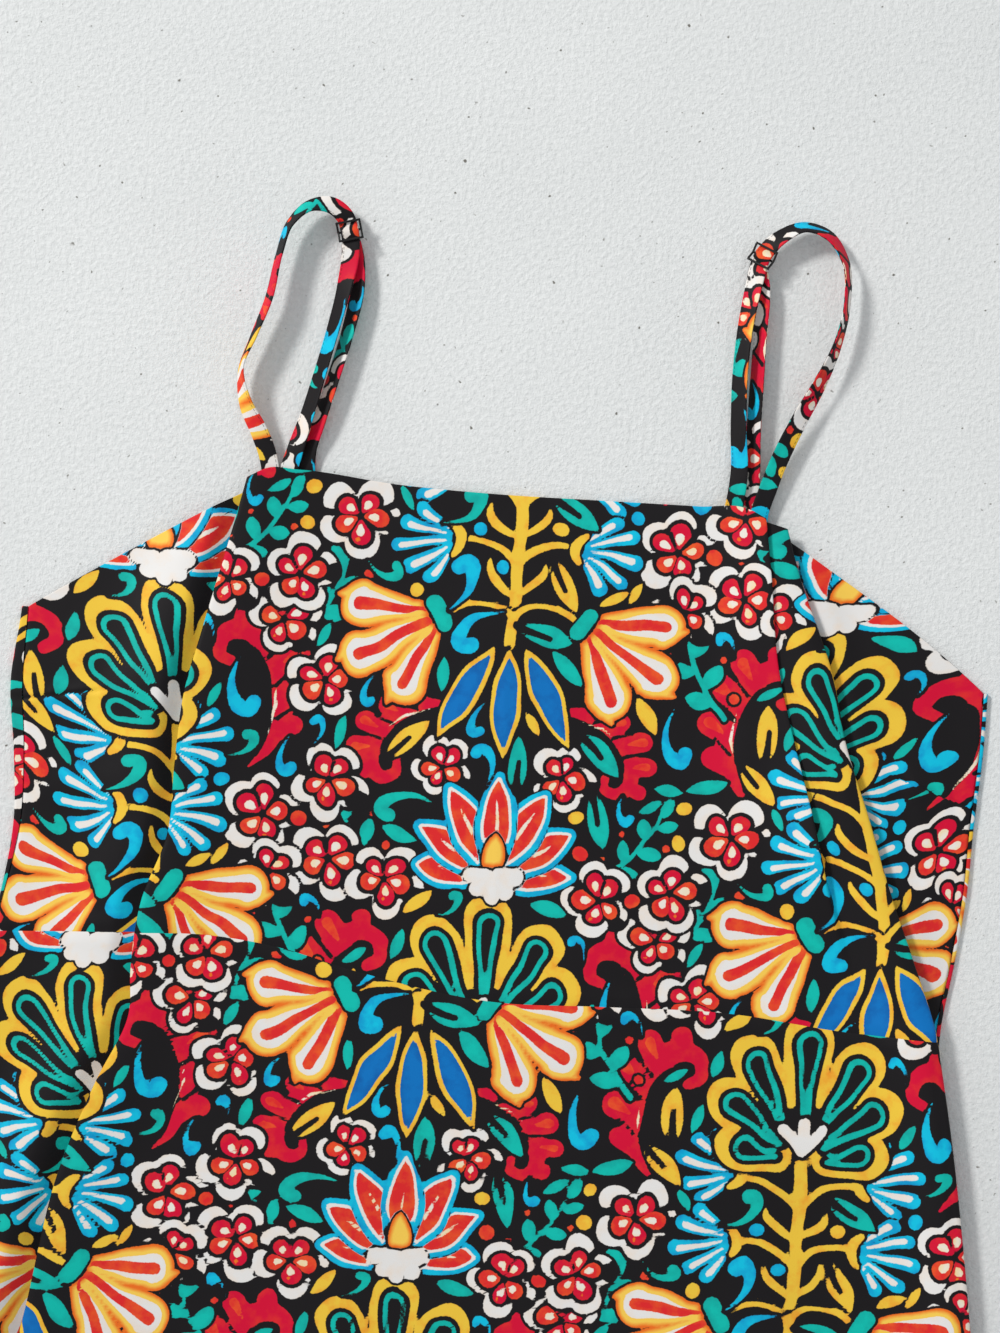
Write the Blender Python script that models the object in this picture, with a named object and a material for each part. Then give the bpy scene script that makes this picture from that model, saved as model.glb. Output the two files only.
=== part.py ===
"""A sleeveless maxi dress with adjustable shoulder straps, laid flat with its front up.

The frame is metres, +Z up. +Y runs up the dress towards the straps, and +X to the right as
one looks down at the front. The dress lies on the plane z = 0, and the origin is the middle
of its outline there. Lengths in the tables are millimetres. A drop is a distance down the
dress from the middle of the front neckline, and an x is a distance to the right.

The front lies on the back. Its cloth is wider than the space it lies in, so it is folded
over itself along two long lines, like flat pleats, and once more along a short crease.
"""

import math
from collections import namedtuple

import bmesh
import bpy
import numpy as np
from mathutils import Vector

MM = 0.001
NECK_Y = 529.85          # the neckline's y, so that the outline's middle is at the origin
CENTRE_X = 0.35          # moves the whole dress sideways
WALL = 1.2               # thickness of a cloth wall
SEAM_GAP = 0.3           # space between two sewn pieces
FLOOR_LAYER = WALL / 2   # height of the middle of the wall that lies on the floor
TOP_LAYER = 3.2          # height of the middle of the front's wall where it lies flat
SIDE_TURN = (TOP_LAYER - FLOOR_LAYER) / 2   # radius of the back's turn at the sides
FOLD_RADIUS = 1.1        # radius of the turns of the two long folds
CREASE_RADIUS = 0.9
FOLD_SPREAD = 45.0       # how far from a fold's edge its cloth settles
CREASE_SPREAD = 26.0
BACK_HEM_DROP = 1230.0
FRONT_HEM_DROP = 1222.0
SIDE_HEM_DROP = 1204.0   # the hem is higher at the sides, as the cut of a flared skirt makes it
RIGHT_WRAP = 2.5         # how far the back comes round the right side
FLUTE_START = 480.0      # drop at which the skirt's soft waves begin
STRAP_WIDTH = 10.4
STRAP_THICK = 1.4

# How the front lies, row by row. left and right are the sides of the dress, and wrap is how
# far the back comes round the left side. The rest are the edges of the folds, the width of
# cloth that each hides, and how far round the crease turns, in degrees.
Lay = namedtuple(
    "Lay",
    "drop left wrap left_fold left_lap crease crease_lap crease_turn right_fold right_lap right",
)
LAY = (
    Lay(-10, -283, 4, -157, 6, 139, 3, 180, 149, 4, 277),
    Lay(30, -283, 4, -165, 8, 146, 5, 180, 162, 8, 277),
    Lay(90, -284, 4, -178, 12, 156, 7, 180, 187, 12, 278),
    Lay(130, -287, 7, -186, 15, 168, 7, 180, 198, 15, 278),
    Lay(170, -282, 6, -188, 17, 181, 5, 150, 214, 18, 276),
    Lay(210, -279, 4, -189, 18, 193, 3, 80, 229, 20, 275),
    Lay(250, -283, 2, -201, 16, 206, 2, 12, 246, 22, 271),
    Lay(290, -291, 2, -204, 12, 216, 2, 0, 262, 24, 266),
    Lay(315, -294, 2, -203, 12, 220, 2, 0, 268, 24, 266),
    Lay(356, -300, 2, -219, 20, 228, 2, 0, 277, 25, 274),
    Lay(404, -307, 2, -235, 26, 238, 2, 0, 286, 26, 283),
    Lay(494, -320, 2, -250, 33, 256, 2, 0, 301, 28, 298),
    Lay(750, -357, 2, -297, 44, 300, 2, 0, 345, 34, 342),
    Lay(1000, -394, 2, -340, 50, 340, 2, 0, 389, 40, 386),
    Lay(1240, -431, 2, -380, 56, 378, 2, 0, 431, 44, 428),
)

Edge = namedtuple("Edge", "x drop")
NECKLINE = (Edge(-157, 1), Edge(-149, -4), Edge(-130, -5), Edge(-71, -1), Edge(-19, 0),
            Edge(45, -1), Edge(103, -2), Edge(132, -2), Edge(140, 2))
WAIST = (Edge(-292, 275), Edge(-208, 269), Edge(-162, 267), Edge(-120, 271), Edge(-76, 281),
         Edge(10, 293), Edge(66, 291), Edge(144, 289), Edge(208, 294), Edge(268, 295))
BACK_TOP = (Edge(-278, 86), Edge(-200, 78), Edge(0, 72), Edge(200, 80), Edge(273, 93))

# Where the front's top edge is, at the ends of each run of cloth across it.
LEFT_UNDERARM, RIGHT_UNDERARM = 86.0, 93.0
LEFT_FOLD_IN, LEFT_FOLD_OUT = 6.0, 1.0
CREASE_IN, CREASE_OUT = 2.0, 3.0
RIGHT_FOLD_OUT, RIGHT_FOLD_IN = 7.0, 10.0

# Soft waves of the skirt's front: place across the cloth at the hem, width and height there.
Flute = namedtuple("Flute", "x width height")
FLUTES = (Flute(-250, 60, 5), Flute(-95, 52, 8), Flute(70, 60, 6), Flute(225, 54, 8))

# A strap's points. tilt is how far the band leans over, in degrees, and turns it on edge at 90.
Point = namedtuple("Point", "x drop height tilt")
LEFT_STRAP = (
    Point(-145, 12, 5.2, 0), Point(-146, -3, 5.3, 0), Point(-149, -14, 6.2, 0),
    Point(-154, -25, 8, 10), Point(-163, -41, 11, 42), Point(-167, -60, 12.5, 72),
    Point(-161, -80, 13, 66), Point(-154, -102, 14, 62), Point(-150, -128, 14, 66),
    Point(-145, -146, 14, 60), Point(-134, -157, 13, 42), Point(-122, -158, 11.2, 14),
    Point(-114, -152, 10.2, 2), Point(-111.2, -145, 10, 0), Point(-109.6, -134, 10, -3),
    Point(-111.5, -112, 10, -30), Point(-116, -88, 9.6, -42), Point(-122, -60, 9.2, -42),
    Point(-128, -34, 8, -34), Point(-132.6, -17, 6.2, -16), Point(-136, -3, 3.9, -2),
    Point(-137.5, 12, 1.9, 0), Point(-137, 35, 1.2, 0), Point(-134, 62, 1.3, 0),
    Point(-132, 74, 2.2, 0), Point(-131, 88, 2.2, 0),
)
LEFT_RETURN = (
    Point(-109.6, -139, 7.6, 0), Point(-107, -131, 7, -8), Point(-104.5, -112, 6.2, -30),
    Point(-108, -86, 5.8, -42), Point(-114.5, -58, 5.8, -42), Point(-121, -33, 5, -34),
    Point(-125.5, -17, 3.4, -16), Point(-125.6, -3, 1.9, -2), Point(-125.2, 12, 1.2, 0),
    Point(-124.6, 35, 1.2, 0), Point(-122, 62, 1.3, 0), Point(-120, 74, 2.2, 0),
    Point(-119, 88, 2.2, 0),
)
RIGHT_STRAP = (
    Point(137, 12, 5.4, 0), Point(138, -3, 5.5, 0), Point(141, -14, 6.2, 0),
    Point(145, -28, 7.5, -4), Point(155, -54, 9.5, -20), Point(166, -78, 11, -40),
    Point(174, -100, 12, -60), Point(178, -127, 12, -66), Point(175, -149, 12, -60),
    Point(164, -163.5, 11.5, -50), Point(150, -167, 11, -50), Point(138, -161, 10.5, -34),
    Point(130, -153, 10, -18), Point(126, -145, 9.8, -14), Point(124, -133, 9.6, -24),
    Point(120.6, -104, 9.4, -36), Point(120, -76, 9, -36), Point(121.5, -49, 8, -34),
    Point(124, -22, 6, -20), Point(122.5, -3, 3.8, -4), Point(119, 12, 1.9, 0),
    Point(118, 35, 1.2, 0), Point(118, 62, 1.3, 0), Point(118, 74, 2.2, 0),
    Point(118, 88, 2.2, 0),
)
RIGHT_RETURN = (
    Point(126.4, -139, 7.2, -16), Point(128.6, -131, 6.6, -30), Point(129.8, -104, 6.2, -46),
    Point(130.2, -74, 6, -46), Point(130.6, -44, 5, -40), Point(131.4, -22, 3.2, -16),
    Point(132, -3, 1.8, -2), Point(131, 12, 1.2, 0), Point(130.6, 35, 1.2, 0),
    Point(130.4, 62, 1.3, 0), Point(130.2, 74, 2.2, 0), Point(130, 88, 2.2, 0),
)

# The slider that sets a strap's length: two windows parted by a low middle bar.
SLIDER_WIDTH, SLIDER_LENGTH = 14.6, 11.6
SLIDER_BAR, SLIDER_THICK = 1.2, 1.2
SLIDER_ARCH = 1.15       # the end bars stand this far above the slider's middle plane
STRAP_DIP, STRAP_HUMP = -0.65, 0.55   # the strap under the end bars and over the middle one
LEFT_SLIDER_DROP = -144.5
RIGHT_SLIDER_DROP = -148.5

# Faces across each run of cloth: a turn of a fold, the cloth under it, and the flat runs.
TURN_FACES, UNDER_FACES = 3, 1
CENTRE_FACES, STRIP_FACES, SIDE_FACES, BACK_FACES = 11, 2, 4, 12
BODICE_ROWS, SKIRT_ROWS = 12, 15
STRAP_STEP, SLIDER_STEP, SLIDER_REACH = 6.5, 1.15, 9.0


def smooth(at, xs, ys):
    """A smooth curve through the points (xs, ys), read at every value of at."""
    xs, ys = np.asarray(xs, float), np.asarray(ys, float)
    slopes = np.gradient(ys, xs)
    at = np.clip(at, xs[0], xs[-1])
    i = np.clip(np.searchsorted(xs, at) - 1, 0, len(xs) - 2)
    width = xs[i + 1] - xs[i]
    t = (at - xs[i]) / width
    start = (1 + 2 * t) * (1 - t) ** 2 * ys[i] + t * (1 - t) ** 2 * width * slopes[i]
    end = t * t * (3 - 2 * t) * ys[i + 1] - t * t * (1 - t) * width * slopes[i + 1]
    return start + end


def along(edge, x):
    return smooth(x, [p.x for p in edge], [p.drop for p in edge])


def lay_at(drop):
    """The lay's columns at these drops."""
    drops = [row.drop for row in LAY]
    return Lay(*(smooth(drop, drops, column) for column in zip(*LAY)))


def settle(distance, spread):
    """1 beside a fold, falling to 0 where its cloth has settled."""
    return np.exp(-((distance / spread) ** 2))


def fold_point(part, edge, side, lap, radius, turn=math.pi):
    """A point of a fold's cloth, from its upper edge at part 0 to the cloth below it at part 3.

    Parts 0 to 1 and 2 to 3 are the two turns, and 1 to 2 is the hidden cloth between them.
    side is 1 where the fold's edge faces right. radius is that of a full half turn, and a
    smaller turn is as long and so is rounder. The height is that above the cloth below.
    """
    rounder = radius * math.pi / turn
    first = turn * np.clip(part, 0, 1)
    straight = lap * np.clip(part - 1, 0, 1)
    second = turn * np.clip(part - 2, 0, 1)
    across = rounder * (np.sin(first) - np.sin(np.minimum(turn, math.pi / 2)))
    across = across + straight * np.cos(turn) + rounder * (np.sin(turn) - np.sin(turn - second))
    down = rounder * (1 - np.cos(first)) + straight * np.sin(turn)
    down = down + rounder * (np.cos(turn - second) - np.cos(turn))
    rise = 2 * rounder * (1 - np.cos(turn)) + lap * np.sin(turn)
    return edge + side * across, rise - down


def flute_height(x, drop):
    """Height that the soft waves add to the skirt's front."""
    hem = BACK_HEM_DROP - FLUTE_START
    grown = np.clip((drop - FLUTE_START) / hem, 0, 1) ** 1.4
    total = 0
    for flute in FLUTES:
        centre = flute.x * (0.75 + 0.25 * np.clip((drop - FLUTE_START) / hem, 0, 1))
        total = total + flute.height * settle(x - centre, flute.width)
    return grown * total


def front_point(zone, part, drop):
    """x and height of the front's cloth. part runs from 0 to 1 across a run of it, and from 0
    to 3 across a fold."""
    lay = lay_at(drop)
    first, last = lay.left_fold + FOLD_RADIUS, lay.right_fold - FOLD_RADIUS
    if zone == "left side":
        start, end = lay.left + lay.wrap + SEAM_GAP / 2, lay.left_fold + lay.left_lap
        return start + (end - start) * part, TOP_LAYER + 0 * part
    if zone == "left fold":
        x, rise = fold_point(3 - part, lay.left_fold, -1, lay.left_lap, FOLD_RADIUS)
        return x, TOP_LAYER + rise
    if zone == "right fold":
        x, rise = fold_point(part, lay.right_fold, 1, lay.right_lap, FOLD_RADIUS)
        return x, TOP_LAYER + rise
    if zone == "right side":
        start, end = lay.right_fold - lay.right_lap, lay.right - RIGHT_WRAP - SEAM_GAP / 2
        return start + (end - start) * part, TOP_LAYER + 0 * part

    def lain(x):
        height = TOP_LAYER + 4 * FOLD_RADIUS * settle(x - first, FOLD_SPREAD)
        height = height + 4 * FOLD_RADIUS * settle(last - x, FOLD_SPREAD)
        return height + flute_height(x, drop)

    if zone == "whole":
        x = first + (last - first) * part
        return x, lain(x)
    turn = np.radians(np.maximum(lay.crease_turn, 0.5))
    start, rise = fold_point(0, lay.crease, 1, lay.crease_lap, CREASE_RADIUS, turn)
    end, _level = fold_point(3, lay.crease, 1, lay.crease_lap, CREASE_RADIUS, turn)
    if zone == "crease":
        x, above = fold_point(part, lay.crease, 1, lay.crease_lap, CREASE_RADIUS, turn)
        return x, lain(end) + above + (lain(start) - lain(end)) * (1 - part / 3) * np.cos(turn / 2)
    if zone == "strip":
        x = end + (last - end) * part
        return x, lain(x)
    x = first + (start - first) * part
    begin = lain(end) + rise + (lain(start) - lain(end)) * np.cos(turn / 2)
    return x, lain(x) + (begin - lain(start)) * settle(start - x, CREASE_SPREAD)


def bodice_columns():
    """(zone, part) for every column of the front bodice, from left to right."""
    found = []
    for zone, faces in ZONES:
        if zone in ("left fold", "crease", "right fold"):
            parts = list(np.linspace(0, 1, TURN_FACES + 1))
            parts += list(1 + np.linspace(0, 1, UNDER_FACES + 1)[1:])
            parts += list(2 + np.linspace(0, 1, TURN_FACES + 1)[1:])
        else:
            parts = list(np.linspace(0, 1, faces + 1))
        found += [(zone, part) for part in (parts if not found else parts[1:])]
    return found


ZONES = (("left side", SIDE_FACES), ("left fold", 0), ("centre", CENTRE_FACES), ("crease", 0),
         ("strip", STRIP_FACES), ("right fold", 0), ("right side", SIDE_FACES))

# Drop of the bodice's top edge at the start and end of each run.
TOP_EDGE = {
    "left side": (LEFT_UNDERARM, LEFT_FOLD_IN),
    "left fold": (LEFT_FOLD_IN, LEFT_FOLD_OUT),
    "crease": (CREASE_IN, CREASE_OUT),
    "strip": (CREASE_OUT, RIGHT_FOLD_OUT),
    "right fold": (RIGHT_FOLD_OUT, RIGHT_FOLD_IN),
    "right side": (RIGHT_FOLD_IN, RIGHT_UNDERARM),
}


def bodice_top(zone, part):
    if zone == "centre":
        return float(along(NECKLINE, NECKLINE[0].x + (NECKLINE[-1].x - NECKLINE[0].x) * part))
    start, end = TOP_EDGE[zone]
    return start + (end - start) * (part / 3 if zone.endswith("fold") or zone == "crease" else part)


def hem_drop(x, lowest):
    return lowest - (lowest - SIDE_HEM_DROP) * min(1, (x / 415.0) ** 2)


def waist_drop(zone, part):
    """The waist seam's drop where this column of the front crosses it."""
    drop = 285.0
    for _ in range(4):
        x, _height = front_point(zone, part, np.float64(drop))
        drop = float(along(WAIST, x))
    return drop


def skirt_columns():
    """The front skirt's columns. They meet the bodice's at the waist seam."""
    found = []
    for zone, part in bodice_columns():
        if zone in ("centre", "crease", "strip"):
            drop = np.float64(waist_drop(zone, part))
            lay = lay_at(drop)
            first, last = lay.left_fold + FOLD_RADIUS, lay.right_fold - FOLD_RADIUS
            x, _height = front_point(zone, part, drop)
            zone, part = "whole", float((x - first) / (last - first))
        found.append((zone, part))
    return found


def hem_of(zone, part):
    drop = FRONT_HEM_DROP
    for _ in range(4):
        x, _height = front_point(zone, part, np.float64(drop))
        drop = hem_drop(float(x), FRONT_HEM_DROP)
    return drop


def back_point(part, drop):
    """x and height of the back's cloth. Parts 0 to 1 and 4 to 5 are its narrow strips that come
    round to the top, 1 to 2 and 3 to 4 the turns, and 2 to 3 the back on the floor."""
    lay = lay_at(drop)
    left_turn, right_turn = lay.left + SIDE_TURN, lay.right - SIDE_TURN
    strip = lay.left + lay.wrap - SEAM_GAP / 2
    right_strip = lay.right - RIGHT_WRAP + SEAM_GAP / 2
    angle = math.pi * (np.clip(part - 1, 0, 1) if part <= 2 else 1 - np.clip(part - 3, 0, 1))
    height = FLOOR_LAYER + SIDE_TURN * (1 + np.cos(angle))
    bulge = SIDE_TURN * np.sin(angle)
    if part <= 1:
        return strip + (left_turn - strip) * part, TOP_LAYER + 0 * strip
    if part <= 2:
        return left_turn - bulge, height
    if part <= 3:
        return left_turn + (right_turn - left_turn) * (part - 2), FLOOR_LAYER + 0 * strip
    if part <= 4:
        return right_turn + bulge, height
    return right_turn + (right_strip - right_turn) * (part - 4), TOP_LAYER + 0 * strip


def to_world(x, drop, height):
    return Vector(((CENTRE_X + x) * MM, (NECK_Y - drop) * MM, height * MM))


def material(name, colour, roughness, metallic=0.0):
    made = bpy.data.materials.new(name)
    made.use_nodes = True
    shader = made.node_tree.nodes["Principled BSDF"]
    shader.inputs["Base Color"].default_value = (*colour, 1.0)
    shader.inputs["Roughness"].default_value = roughness
    shader.inputs["Metallic"].default_value = metallic
    return made


def link(name, mesh, finish):
    made = bpy.data.objects.new(name, mesh)
    bpy.context.scene.collection.objects.link(made)
    mesh.materials.append(finish)
    mesh.shade_smooth()
    mesh.set_sharp_from_angle(angle=math.radians(50))
    return made


def offset(line, distance):
    """The points (x, height) of a line across the dress, moved sideways by this distance."""
    line = np.asarray(line, float)
    runs = np.diff(line, axis=0)
    runs /= np.linalg.norm(runs, axis=1)[:, None]
    sides = np.stack([-runs[:, 1], runs[:, 0]], axis=1)
    before = np.vstack([sides[:1], sides])
    after = np.vstack([sides, sides[-1:]])
    share = 1 + (before * after).sum(axis=1)
    return line + distance * (before + after) / np.maximum(share, 0.5)[:, None]


def sheet(name, points, finish):
    """A wall of cloth along rows of points. points[row][column] is (x, drop, height)."""
    shape = bmesh.new()
    rings = []
    for row in points:
        drops = [drop for _x, drop, _height in row]
        line = [(x, height) for x, _drop, height in row]
        upper, lower = offset(line, WALL / 2), offset(line, -WALL / 2)
        rings.append([
            [shape.verts.new(to_world(x, drop, height)) for (x, height), drop in zip(face, drops)]
            for face in (upper, lower)
        ])
    last = len(points[0]) - 1
    for (upper, lower), (next_upper, next_lower) in zip(rings, rings[1:]):
        for k in range(last):
            shape.faces.new((upper[k], upper[k + 1], next_upper[k + 1], next_upper[k]))
            shape.faces.new((lower[k + 1], lower[k], next_lower[k], next_lower[k + 1]))
        shape.faces.new((upper[0], next_upper[0], next_lower[0], lower[0]))
        shape.faces.new((upper[last], lower[last], next_lower[last], next_upper[last]))
    for upper, lower in (rings[0], rings[-1]):
        for k in range(last):
            shape.faces.new((upper[k], lower[k], lower[k + 1], upper[k + 1]))
    bmesh.ops.recalc_face_normals(shape, faces=shape.faces)
    mesh = bpy.data.meshes.new(name)
    shape.to_mesh(mesh)
    shape.free()
    link(name, mesh, finish)


def front_sheet(name, cells, top, bottom, rows, finish):
    tops = [top(zone, part) for zone, part in cells]
    bottoms = [bottom(zone, part) for zone, part in cells]
    points = []
    for row in range(rows + 1):
        share = row / rows
        line = []
        for (zone, part), high, low in zip(cells, tops, bottoms):
            drop = high + (low - high) * share
            x, height = front_point(zone, part, np.float64(drop))
            line.append((float(x), drop, float(height)))
        points.append(line)
    sheet(name, points, finish)


def back_sheet(name, top, bottom, rows, finish):
    strip = [0.0]
    turn = list(np.linspace(1, 2, TURN_FACES + 1))
    floor = list(np.linspace(2, 3, BACK_FACES + 1))[1:]
    rise = list(np.linspace(3, 4, TURN_FACES + 1))[1:]
    parts = strip + turn + floor + rise + [5.0]
    points = []
    for row in range(rows + 1):
        line = []
        for part in parts:
            drop = 100.0
            for _ in range(4):
                x, height = back_point(part, np.float64(drop))
                high, low = top(float(x)), bottom(float(x))
                drop = high + (low - high) * row / rows
            line.append((float(x), drop, float(height)))
        points.append(line)
    sheet(name, points, finish)


def strap_course(points, slider_drop=None):
    """(place, forward, across, up) along a strap, in millimetres, close together at its slider."""
    table = np.array([(p.x, NECK_Y - p.drop, p.height, p.tilt) for p in points], float)
    chord = np.r_[0, np.cumsum(np.linalg.norm(np.diff(table[:, :3], axis=0), axis=1))]
    fine = np.linspace(0, chord[-1], 1200)
    curve = np.stack([smooth(fine, chord, table[:, k]) for k in range(4)], axis=1)
    length = np.r_[0, np.cumsum(np.linalg.norm(np.diff(curve[:, :3], axis=0), axis=1))]
    total = length[-1]
    slider = None
    if slider_drop is not None:
        top = curve[:, 1].argmax()
        after = np.abs(curve[top:, 1] - (NECK_Y - slider_drop)).argmin() + top
        slider = length[after]
    stops = list(np.linspace(0, total, round(total / STRAP_STEP) + 1))
    if slider is not None:
        stops = [s for s in stops if abs(s - slider) > SLIDER_REACH + 0.4 * STRAP_STEP]
        count = round(2 * SLIDER_REACH / SLIDER_STEP)
        stops += list(np.linspace(slider - SLIDER_REACH, slider + SLIDER_REACH, count + 1))
    stops = np.sort(stops)

    def read(at):
        return np.stack([np.interp(at, length, curve[:, k]) for k in range(4)], axis=1)

    here = read(stops)
    forward = read(np.minimum(stops + 1, total))[:, :3] - read(np.maximum(stops - 1, 0))[:, :3]
    forward /= np.linalg.norm(forward, axis=1)[:, None]
    flat = np.cross(forward, (0, 0, 1))
    flat /= np.linalg.norm(flat, axis=1)[:, None]
    rise = np.cross(flat, forward)
    tilt = np.radians(here[:, 3])[:, None]
    across = flat * np.cos(tilt) + rise * np.sin(tilt)
    up = rise * np.cos(tilt) - flat * np.sin(tilt)
    place = here[:, :3]
    seat = None
    if slider is not None:
        seat = int(np.abs(stops - slider).argmin())
        seat = (place[seat].copy(), forward[seat], across[seat], up[seat])
        place = place + up * slider_wave(stops - slider)[:, None]
    return place, across, up, seat


def slider_wave(distance):
    """How far the strap leaves its course to pass under the end bars and over the middle bar."""
    pitch = (SLIDER_LENGTH - SLIDER_BAR) / 2
    middle, swing = (STRAP_HUMP + STRAP_DIP) / 2, (STRAP_HUMP - STRAP_DIP) / 2
    inside = middle + swing * np.cos(math.pi * distance / pitch)
    outside = STRAP_DIP * np.exp(-(((np.abs(distance) - pitch) / 3.5) ** 2))
    return np.where(np.abs(distance) < pitch, inside, outside)


def strap(name, points, finish, slider_drop=None):
    """A flat band swept along its course, with rounded edges and closed ends."""
    place, across, up, seat = strap_course(points, slider_drop)
    half, thick = STRAP_WIDTH / 2, STRAP_THICK / 2
    outline = ((-half, 0), (-0.86 * half, thick), (0, thick), (0.86 * half, thick),
               (half, 0), (0.86 * half, -thick), (0, -thick), (-0.86 * half, -thick))
    shape = bmesh.new()
    rings = []
    for centre, sideways, above in zip(place, across, up):
        ring = [centre + a * sideways + b * above for a, b in outline]
        rings.append([shape.verts.new(Vector(p) * MM + Vector((CENTRE_X * MM, 0, 0))) for p in ring])
    count = len(outline)
    for before, after in zip(rings, rings[1:]):
        for k in range(count):
            after_k = (k + 1) % count
            shape.faces.new((before[k], before[after_k], after[after_k], after[k]))
    shape.faces.new(rings[0][::-1])
    shape.faces.new(rings[-1])
    bmesh.ops.recalc_face_normals(shape, faces=shape.faces)
    mesh = bpy.data.meshes.new(name)
    shape.to_mesh(mesh)
    shape.free()
    link(name, mesh, finish)
    return seat


def slider(name, seat, finish):
    """A plate with two windows, its ends arched above its middle bar, seated round the strap."""
    place, forward, across, up = seat
    half_width, half_length = SLIDER_WIDTH / 2, SLIDER_LENGTH / 2
    widths = (-half_width, -half_width + SLIDER_BAR, half_width - SLIDER_BAR, half_width)
    lengths = (-half_length, -half_length + SLIDER_BAR, -SLIDER_BAR / 2,
               SLIDER_BAR / 2, half_length - SLIDER_BAR, half_length)
    arches = (SLIDER_ARCH, SLIDER_ARCH, -SLIDER_ARCH, -SLIDER_ARCH, SLIDER_ARCH, SLIDER_ARCH)
    shape = bmesh.new()
    grid = []
    for length, arch in zip(lengths, arches):
        line = [place + w * across + length * forward + arch * up for w in widths]
        grid.append([shape.verts.new(Vector(p) * MM + Vector((CENTRE_X * MM, 0, 0))) for p in line])
    for row in range(len(lengths) - 1):
        for column in range(len(widths) - 1):
            window = column == 1 and row in (1, 3)
            if not window:
                shape.faces.new((grid[row][column], grid[row][column + 1],
                                 grid[row + 1][column + 1], grid[row + 1][column]))
    mesh = bpy.data.meshes.new(name)
    shape.to_mesh(mesh)
    shape.free()
    made = link(name, mesh, finish)
    plate = made.modifiers.new("plate", "SOLIDIFY")
    plate.thickness = SLIDER_THICK * MM
    plate.offset = 0
    plate.use_even_offset = True


def main():
    for old in list(bpy.data.objects):
        bpy.data.objects.remove(old)
    cloth = material("cloth", (0.06, 0.05, 0.06), 0.72)
    lacquer = material("lacquer", (0.02, 0.02, 0.02), 0.25, 0.6)
    half_seam = SEAM_GAP / 2

    front_sheet("front_bodice", bodice_columns(), bodice_top,
                lambda zone, part: waist_drop(zone, part) - half_seam, BODICE_ROWS, cloth)
    front_sheet("front_skirt", skirt_columns(),
                lambda zone, part: waist_drop(zone, part) + half_seam, hem_of, SKIRT_ROWS, cloth)
    back_sheet("back_bodice", lambda x: float(along(BACK_TOP, x)),
               lambda x: float(along(WAIST, x)) - half_seam, BODICE_ROWS, cloth)
    back_sheet("back_skirt", lambda x: float(along(WAIST, x)) + half_seam,
               lambda x: hem_drop(x, BACK_HEM_DROP), SKIRT_ROWS, cloth)

    for side, course, returning, drop in (
        ("left", LEFT_STRAP, LEFT_RETURN, LEFT_SLIDER_DROP),
        ("right", RIGHT_STRAP, RIGHT_RETURN, RIGHT_SLIDER_DROP),
    ):
        seat = strap(f"{side}_strap", course, cloth, drop)
        strap(f"{side}_strap_return", returning, cloth)
        slider(f"{side}_slider", seat, lacquer)


main()
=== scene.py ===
"""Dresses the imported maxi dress: its printed cloth, straps and sliders, the floor and the camera.

The cloth lies as the solids do. Each piece is a sheet of points placed by the same sections,
with softer folds, turned edges and puckered seams, and its print is drawn where each point
lies in the cut, so that the folds and seams cut the print.
"""

import math
from collections import namedtuple
from types import SimpleNamespace

import bmesh
import bpy
import numpy as np
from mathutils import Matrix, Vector


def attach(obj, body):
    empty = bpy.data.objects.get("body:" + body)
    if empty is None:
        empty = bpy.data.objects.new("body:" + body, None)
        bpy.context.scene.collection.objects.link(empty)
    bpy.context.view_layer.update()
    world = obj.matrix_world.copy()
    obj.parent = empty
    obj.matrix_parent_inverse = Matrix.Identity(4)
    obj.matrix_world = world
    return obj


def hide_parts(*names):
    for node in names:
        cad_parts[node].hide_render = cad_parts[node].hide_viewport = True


bl_info = {
    "name": "Printed maxi dress",
    "version": (1, 0, 0),
    "blender": (4, 5, 0),
    "location": "View3D > Sidebar > Dress",
    "description": "Builds a printed maxi dress laid flat",
    "category": "Add Mesh",
}

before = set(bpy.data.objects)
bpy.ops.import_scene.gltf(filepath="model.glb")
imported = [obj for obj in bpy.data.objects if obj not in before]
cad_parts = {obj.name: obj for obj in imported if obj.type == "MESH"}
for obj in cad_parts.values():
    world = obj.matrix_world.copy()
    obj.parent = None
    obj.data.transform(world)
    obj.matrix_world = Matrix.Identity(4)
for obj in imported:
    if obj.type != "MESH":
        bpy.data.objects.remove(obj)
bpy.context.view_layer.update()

# Sizes are millimetres here, as in the solids. A drop is a distance down the dress from the
# middle of the front neckline, and an x is a distance to the right.
MM = 0.001
NECK_Y = 529.85          # y of the neckline's middle
CENTRE_X = 0.35          # moves the whole dress sideways
SEAM_GAP = 0.12          # the sheets nearly meet at the seams
FLOOR_LAYER = 0.3        # height of the back on the floor
TOP_LAYER = 3.2          # height of the front where it lies flat
SIDE_TURN = (TOP_LAYER - FLOOR_LAYER) / 2   # radius of the back's turn at the sides
FOLD_RADIUS = 1.1        # radius of the turns of the two long folds
CREASE_RADIUS = 0.9      # the same for the short crease
FOLD_SPREAD = 45.0       # how far from a fold's edge its cloth settles
CREASE_SPREAD = 26.0     # the same beside the crease
BACK_HEM_DROP, FRONT_HEM_DROP = 1230.0, 1222.0
SIDE_HEM_DROP, SIDE_HEM_X = 1204.0, 415.0   # the hem is higher at the sides
RIGHT_WRAP = 2.5         # how far the back comes round the right side
SIDE_COLUMNS = (0.4, 1.0)    # extra columns of points, this far from the side seams
SIDE_DIP = 0.7           # how deep the front dips into the side seams, and how wide
TOP_RADIUS, HEM_RADIUS = 0.3, 0.4    # how round the cloth turns at the top edge and at the hem
WAIST_TURN = (0.45, 5)   # how round it turns at the waist seam, and how far it goes in
BODICE_LENGTH = 300      # rough length of the front bodice, for its rows of points
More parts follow.
